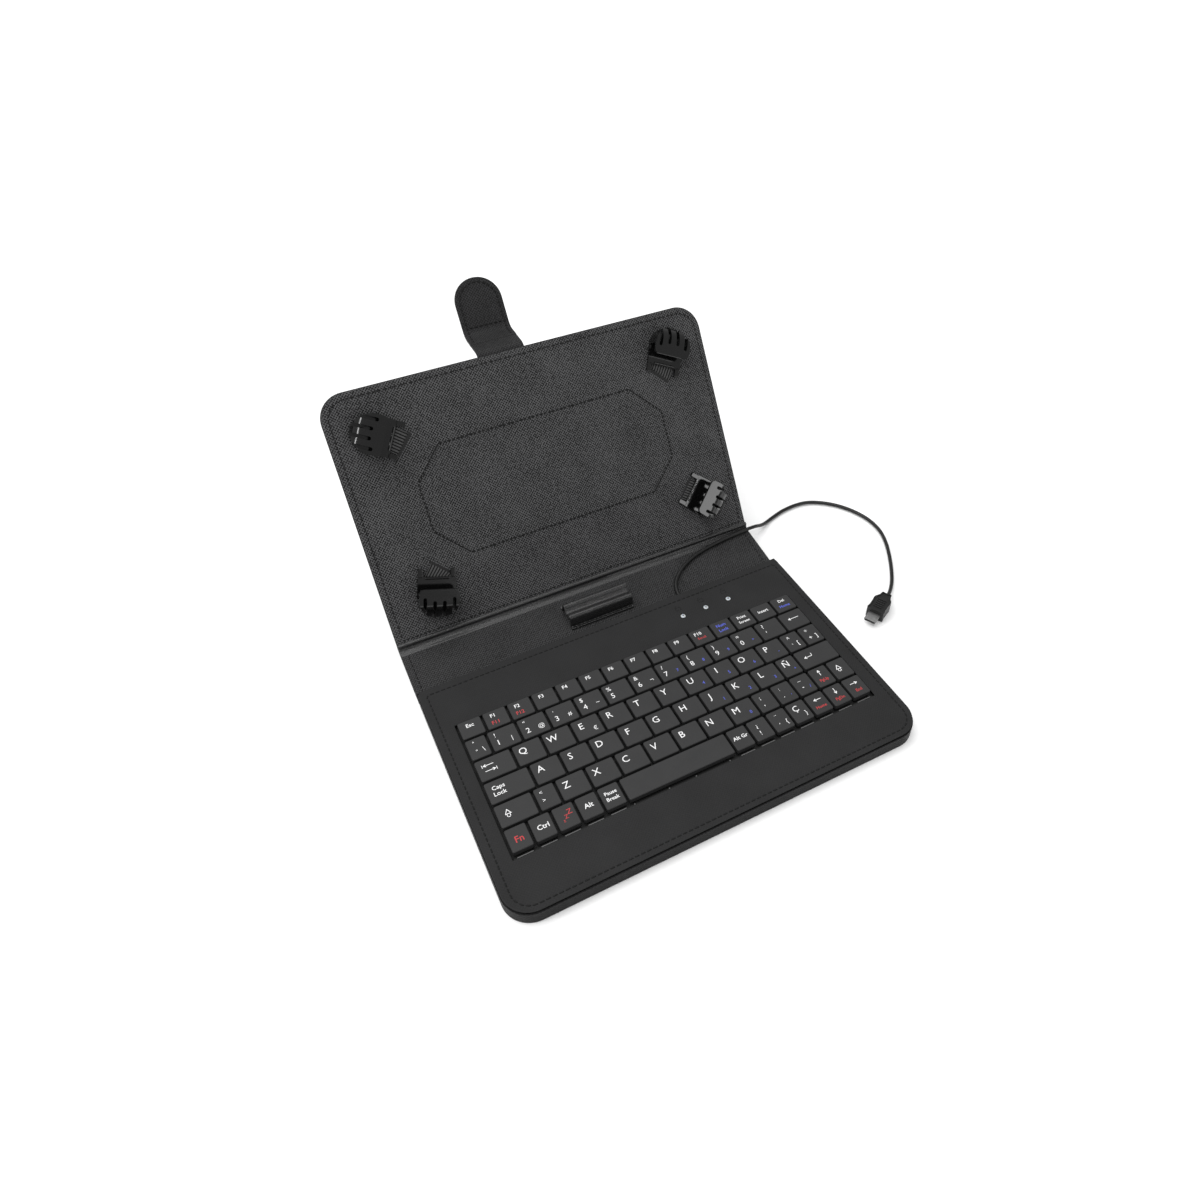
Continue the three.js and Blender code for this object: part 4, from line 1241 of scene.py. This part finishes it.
def make_cover():
    """The cover: hatched lining, outer sheet with its edge turned up, and rows of stitches."""
    lining = cut_sheet("cover_leather", -HALF + 0.45, HALF - 0.45, 1.0, COVER_LENGTH - 0.45, (-0.95, 0.0),
                       (1.5, CORNER - 0.45), 0.42)
    set_in(lining, COVER)
    dress(lining, HATCHED_LEATHER, "cover", ("cover_lining",))

    back = cut_sheet("cover_back", -HALF, HALF, 1.0, COVER_LENGTH, (-4.1, -1.15), (1.5, CORNER), 0)
    shape()
    pick("faces", lambda c, n: n.z > 0.9)
    bpy.ops.mesh.inset(thickness=1.2 * MM)
    extrude("region", z=-2.1)
    done()
    turn_out(back)
    ease_edges(back, 0.5, 3)
    lay_out(back)
    set_in(back, COVER)
    dress(back, OUTER_LEATHER, "cover", ("cover_outer_skin",))

    edge = rounded_outline(-HALF + 3.7, HALF - 3.7, -30, COVER_LENGTH - 3.7, 2, CORNER - 3.7)
    sides = [point for point in edge[9:] + edge[1:9] if point[1] > 8.0]
    sides = [(HALF - 3.7, 7.5)] + sides + [(-HALF + 3.7, 7.5)]
    sew("cover_edge_stitches", [sides], 2.75, 0.04, EDGE_STITCH, "cover", COVER)
    foot = [(-HALF + 3.2, 6.3), (HALF - 3.2, 6.3)]
    sew("cover_foot_stitches", [foot], 2.35, -0.14, (1.1, 1.1), "cover", COVER)
    sew("octagon_stitches", sides_of(octagon()), 2.4, -0.02, (1.25, 1.2), "cover", COVER)


def octagon():
    """The corners of the sewn octagon, closed, from its front left."""
    right = [(PATCH_SHORT, -PATCH_HIGH), (PATCH_LONG, -PATCH_LOW)]
    right += [(x, -y) for x, y in reversed(right)]
    left = [(-x, y) for x, y in reversed(right)]
    return [(x, y + PATCH_MIDDLE) for x, y in left[-1:] + right + left]


def octagon_sheet(name, grow, levels):
    """An eight-sided sheet, cut from a plate by bevelling its corners."""
    piece = begin("plane", name, size=1, location=(0, PATCH_MIDDLE * MM, levels[0] * MM),
                  scale=(2 * (PATCH_LONG + grow) * MM, 2 * (PATCH_HIGH + grow) * MM, 1))
    shape()
    pick_all()
    bpy.ops.mesh.bevel(offset=16.8 * MM, segments=1, affect="VERTICES")
    pick_all()
    extrude("region", z=levels[1] - levels[0])
    done()
    turn_out(piece)
    ease_edges(piece, 0.35, 2)
    lay_out(piece)
    return piece


def leg_angle():
    """The leg's lean: its foot stands on the table."""
    height = on_cover(*LEG_PIVOT)[1]
    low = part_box("kickstand_sleeve")[0].z / MM
    return -math.asin((height - low - 0.6) / LEG_LENGTH)


def make_leg():
    """The rear patch and the leg that folds out of it, sewn round its edge."""
    patch = octagon_sheet("leg_patch", 2.5, (-5.6, -4.15))
    set_in(patch, COVER)
    dress(patch, OUTER_LEATHER, "cover", ("kickstand_patch",))
    sew("patch_stitches", sides_of(octagon()), 2.6, -5.66, EDGE_STITCH, "cover", COVER)
    tilt = leg_angle()
    leg_frame = panel_frame(on_cover(*LEG_PIVOT), tilt)
    leg = begin("plane", "leg_flap", size=1, location=(0, LEG_LENGTH / 2 * MM, -1.2 * MM),
                scale=(104 * MM, LEG_LENGTH * MM, 1))
    shape()
    pick("verts", lambda v: v.y > 50)
    bpy.ops.transform.resize(value=(41 / 52, 1, 1), center_override=(0, LEG_LENGTH * MM, 0))
    bpy.ops.mesh.bevel(offset=8 * MM, segments=8, affect="VERTICES")
    slice_at("y", [2.2, 3.4, 4.6])
    pick_all()
    extrude("region", z=2.4)
    done()
    turn_out(leg)
    ease_edges(leg, 0.6, 3)
    lay_out(leg)
    set_in(leg, leg_frame)
    dress(leg, OUTER_LEATHER, "kickstand", ("kickstand_sleeve",))
    hinge_path = [on_cover(106.5, -5.9), on_cover(103.0, -6.0)] + turn(
        on_cover(101.4, -6.1), on_cover(98.6, -6.4), on_panel(on_cover(*LEG_PIVOT), tilt, 4.2, 1.45))
    hinge = bent_strip("leg_hinge_strip", -44, 44, hinge_path, 0.5, (1.5, 1.5), 0.15, -0.25, 0.7)
    set_in(hinge, TABLE, 60)
    dress(hinge, OUTER_LEATHER, None)
    start, end = on_cover(102.0, -6.1), on_panel(on_cover(*LEG_PIVOT), tilt, 3.0, 0)
    row(0, *start)
    row(0, *end)
    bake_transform(hinge)
    inset = [(-47.2, 6), (-37.6, 84), (-33.5, 88.2), (33.5, 88.2), (37.6, 84), (47.2, 6), (-47.2, 6)]
    for side, level in (("outer", 1.24), ("inner", -1.24)):
        sew(f"leg_stitches_{side}", sides_of(inset), 2.8, level, EDGE_STITCH, "kickstand", leg_frame)


# ---- strap ----


STRAP_LEVEL = -5.15  # the middle of the strap where it is sewn to the cover's back


def strap_paths():
    """The strap's middle line on the cover: up its back, out behind it to the knee, then up to the tip."""
    start = STRAP_PIVOT.x
    lower = [(start - 24.6, STRAP_LEVEL), (start - 12, STRAP_LEVEL), (start - 4, STRAP_LEVEL)]
    run = STRAP_KNEE - STRAP_PIVOT
    half = tuple(STRAP_PIVOT + run * 0.5)
    lower += turn((start - 3, STRAP_LEVEL), (start + 0.6, -5.0), tuple(STRAP_PIVOT + run * 0.2))
    lower += [half]
    upper = [half, tuple(STRAP_PIVOT + run * 0.66)]
    upper += turn(tuple(STRAP_PIVOT + run * 0.82), STRAP_KNEE, (STRAP_KNEE.x + 4, STRAP_KNEE.y), 10)
    upper += [(STRAP_KNEE.x + 12, STRAP_KNEE.y), (STRAP_KNEE.x + STRAP_TIP, STRAP_KNEE.y)]
    return lower, upper


def make_strap():
    """The closing strap: a padded band with a round tip, sewn round its edge and across above the knee."""
    lower_path, upper_path = strap_paths()
    left, right = STRAP_X - STRAP_HALF, STRAP_X + STRAP_HALF
    lower = bent_strip("strap_root_band", left, right, lower_path, 1.6, (0, 0), 0, -0.8, 1.2)
    upper = bent_strip("strap_tip_band", left, right, upper_path, 1.6, (0, STRAP_HALF - 0.3), 0, -0.8, 1.2)
    near, far = STRAP_PIVOT * 0.75 + STRAP_KNEE * 0.25, STRAP_PIVOT * 0.25 + STRAP_KNEE * 0.75
    for piece, parent, child, start, end in (
        (lower, "cover", "strap_root", (137.4, STRAP_LEVEL), near),
        (upper, "strap_root", "strap_tip", far, (154.5, -22.0)),
    ):
        ease_edges(piece, 0.45, 3)
        set_in(piece, COVER, 60)
        names = ("strap_anchor", "strap_root") if piece is lower else ("strap_tip",)
        dress(piece, OUTER_LEATHER, None, names)
        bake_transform(piece)
    inner = STRAP_HALF - 2.5
    length = length_of(upper_path)
    reach = length - 2.5 - inner
    ring = [(STRAP_X - inner, 1.5), (STRAP_X - inner, reach)]
    for k in range(15):
        a = math.pi * k / 14
        ring.append((STRAP_X - inner * math.cos(a), reach + inner * math.sin(a)))
    ring += [(STRAP_X + inner, reach), (STRAP_X + inner, 1.5)]
    seam = length - STRAP_TIP + 4.2
    cross = [(STRAP_X - inner + 1, seam), (STRAP_X + inner - 1, seam)]
    for side, level in (("front", 0.86), ("rear", -0.86)):
        stitches = sew(f"strap_tip_stitches_{side}", [ring, cross], 2.7, level, STRAP_STITCH, None, FLAT)
        bend(stitches, upper_path)
        stitches.data.transform(COVER)
        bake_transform(stitches)
    low_length = length_of(lower_path)
    sides = [[(STRAP_X + s * inner, 1.5), (STRAP_X + s * inner, low_length - 1.0)] for s in (-1, 1)]
    foot = [(STRAP_X - inner, 2.0), (STRAP_X + inner, 2.0)]
    stitches = sew("strap_root_stitches", [*sides, foot], 2.7, -0.86, STRAP_STITCH, None, FLAT)
    bend(stitches, lower_path)
    stitches.data.transform(COVER)
    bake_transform(stitches)


# ---- claws ----

CLAWS = {
    "top_left": ((-77.9, 110.0), 150, (-73.3, 106.0), 137),
    "top_right": ((79.6, 108.8), 64, (76.5, 104.6), 43),
    "bottom_left": ((-78.3, 34.2), -107, (-74.3, 37.3), -137),
    "bottom_right": ((78.2, 34.6), -43, (75.9, 36.3), -43),
}


def plan_solid(name, radii, straight, front_half, levels, corner=0.0):
    """A solid on a half-oval plan: the oval end outwards, a straight part back to the given distance."""
    piece = begin("circle", name, vertices=64, radius=1 * MM, fill_type="NGON",
                  location=(0, 0, levels[0] * MM))
    piece.data.transform(Matrix.Translation((0, 11 * MM, 0)) @ Matrix.Diagonal((radii[0], radii[1], 1, 1)))
    shape()
    pick_all()
    bpy.ops.mesh.bisect(plane_co=(0, 11 * MM, 0), plane_no=(0, 1, 0), clear_inner=True)
    pick("edges", lambda m, d: abs(m.y - 11) < 0.01 and abs(d.y) < 0.01)
    extrude("edges", y=straight - 11)
    pick("verts", lambda v: abs(v.y - straight) < 0.01)
    bpy.ops.transform.resize(value=(front_half / radii[0], 1, 1), center_override=(0, straight * MM, 0))
    if corner:
        bpy.ops.mesh.bevel(offset=corner * MM, segments=5, affect="VERTICES")
    pick_all()
    extrude("region", z=levels[1] - levels[0])
    done()
    turn_out(piece)
    return piece


def rounded_end_keeper(radius, reach, top):
    """A wedge that keeps a solid under a rounded outer top edge."""
    keeper = block("keeper", (-15, -6, -1), (15, reach, top))
    shape()
    pick("edges", lambda m, d: abs(d.x) > 5 and m.y > reach - 0.1 and m.z > top - 0.1)
    bpy.ops.mesh.bevel(offset=radius * MM, segments=12, affect="EDGES")
    done()
    return keeper


def make_claw():
    """One claw: a floor with two ears, a hooked hood of five fingers, and a rolled rib before the hood."""
    claw = plan_solid("claw", (10.6, 11.0), 5.4, 10.3, (0.4, 11.6), 2.0)
    combine(claw, rounded_end_keeper(9.8, 22.0, 11.6), "INTERSECT")
    hollow = plan_solid("hollow", (8.8, 9.2), -6.0, 8.8, (2.4, 9.8))
    combine(hollow, rounded_end_keeper(8.0, 20.2, 9.8), "INTERSECT")
    combine(claw, hollow, "DIFFERENCE")
    combine(claw, block("side_way", (-15, -6, 2.4), (15, 11.0, 9.8)), "DIFFERENCE")
    for s, start in ((-7.65, 9.8), (-2.55, 11.6), (2.55, 11.6), (7.65, 9.8)):
        slot = block("slot", (s - 0.95, start, 3.2), (s + 0.95, 26, 14))
        shape()
        pick("edges", lambda m, d: abs(d.z) > 5 and m.y < start + 0.1)
        bpy.ops.mesh.bevel(offset=0.9 * MM, segments=4, affect="EDGES")
        done()
        combine(claw, slot, "DIFFERENCE")
    floor = plan_solid("floor", (10.5, 10.9), 0.0, 9.95, (0.4, 2.4))
    combine(claw, floor, "UNION")
    ease_edges(claw, 0.28, 3, 32)
    extras = []
    for side in (-1, 1):
        ear = block("ear", (side * 8.7 - 1.2, -4.4, 0.7), (side * 8.7 + 1.2, 0.8, 2.4))
        shape()
        pick("edges", lambda m, d, s=side: abs(d.z) > 0.5 and m.y < -4 and m.x * s > 8.7)
        bpy.ops.mesh.bevel(offset=0.9 * MM, segments=4, affect="EDGES")
        done()
        ease_edges(ear, 0.2)
        extras.append(ear)
    rib = begin("cylinder", "rib", vertices=16, radius=0.62 * MM, depth=12.8 * MM,
                location=(0, 0.85 * MM, 2.45 * MM), rotation=(0, math.pi / 2, 0))
    ease_edges(rib, 0.3, 2)
    extras.append(rib)
    claw = join([claw, *extras], "claw")
    smooth(claw, 34)
    return claw


def make_elastic(name, place, edge, heading, slot, slot_heading):
    """A corded elastic band from its slit in the lining to the claw, cords along the pull."""
    band = begin("grid", name, x_subdivisions=CORDS * 4, y_subdivisions=8, size=1 * MM)
    modify(band, "SOLIDIFY", thickness=0.0004, offset=1)
    lay_out(band)

    def line(middle, angle, half, share):
        across = math.radians(angle - 90)
        return Vector(middle) + Vector((math.cos(across), math.sin(across))) * half * share

    for vertex in band.data.vertices:
        share, pull = vertex.co.x / MM * 2, vertex.co.y / MM + 0.5
        lift = 0.22 * abs(math.cos(math.pi * CORDS * vertex.co.x / MM))
        thick = vertex.co.z / MM
        near = line(slot, slot_heading, 6.4, share)
        far = line(edge, heading, 6.4, share)
        spot = near.lerp(far, pull)
        level = 0.34 + (lift + thick * 1.2 if thick > 0.1 else 0) - 1.6 * max(0.0, 1 - pull / 0.13) ** 2
        vertex.co = (spot.x * MM, spot.y * MM, level * MM)
    for loop in band.data.uv_layers["sheet"].data:
        loop.uv = (loop.uv[0] * BAND, loop.uv[1] * 6)
    turn_out(band)
    set_in(band, place, 70)
    return band


def make_claws():
    pattern = make_claw()
    for corner, (edge, heading, slot, slot_heading) in CLAWS.items():
        turned = Matrix.Rotation(math.radians(heading - 90), 4, "Z")
        placed = COVER @ Matrix.Translation((edge[0] * MM, edge[1] * MM, 0)) @ turned
        body = "claw_" + corner
        dress(copy_of(pattern, body + "_shell", placed), CLAW_PLASTIC, body, (body,))
        outward = Vector((math.cos(math.radians(heading)), math.sin(math.radians(heading))))
        far = Vector(edge) + outward * 0.6
        band = make_elastic("elastic_band_" + corner, COVER, far, heading, slot, slot_heading)
        dress(band, ELASTIC, None, ("elastic_" + corner,))
        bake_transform(band)
        # A thin black sheet over the lining at the slit where the band goes in: painted shade in the slit's
        # opening.
        slit = cut_sheet("slit_shade_" + corner, -7.2, 7.2, -1.0, 1.0, (-0.1, 0.12), (0.9, 0.9), 0.05)
        slit.data.transform(COVER @ Matrix.Translation((slot[0] * MM, slot[1] * MM, 0))
                            @ Matrix.Rotation(math.radians(slot_heading - 90), 4, "Z"))
        dress(slit, BLACK_PLASTIC, "cover")
    discard(pattern)


# ---- carried-over pieces ----

CARRIED = {
    "base_board": GREYBOARD, "spine_board": GREYBOARD, "cover_board": GREYBOARD, "kickstand_board": GREYBOARD,
    "base_frame": FOAM, "dome_sheet": SILICONE, "controller_board": CIRCUIT, "keyboard_tray": DECK_PLASTIC,
    "key_deck": DECK_PLASTIC, "strap_keeper": PLAIN_STEEL, "kickstand_magnet": PLAIN_STEEL,
    "strap_magnet": PLAIN_STEEL, "cord_gland": RUBBER,
}


def dress_carried():
    for name, material in CARRIED.items():
        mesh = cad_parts[name].data
        mesh.materials.clear()
        mesh.materials.append(material)


def lay_floor():
    floor = begin("plane", "floor", size=14, location=(0, 2, -0.0005))
    floor.data.materials.append(floor_paint())


set_lights()
lay_floor()
make_base_skin()
make_base_leather()
make_edge_groove_shade()
base_edge = rounded_outline(-104.9, 105.2, -64.6, 64.3, 9.6, 1.5)
sew("base_edge_stitches", [base_edge], 3.0, LEATHER_TOP + 0.05, (1.7, 0.75), "base")
make_lamps()
make_spring_tabs()
make_keycaps()
print_legends()
make_spine()
make_pen_loop()
make_cover()
make_leg()
make_strap()
make_claws()
dress_carried()
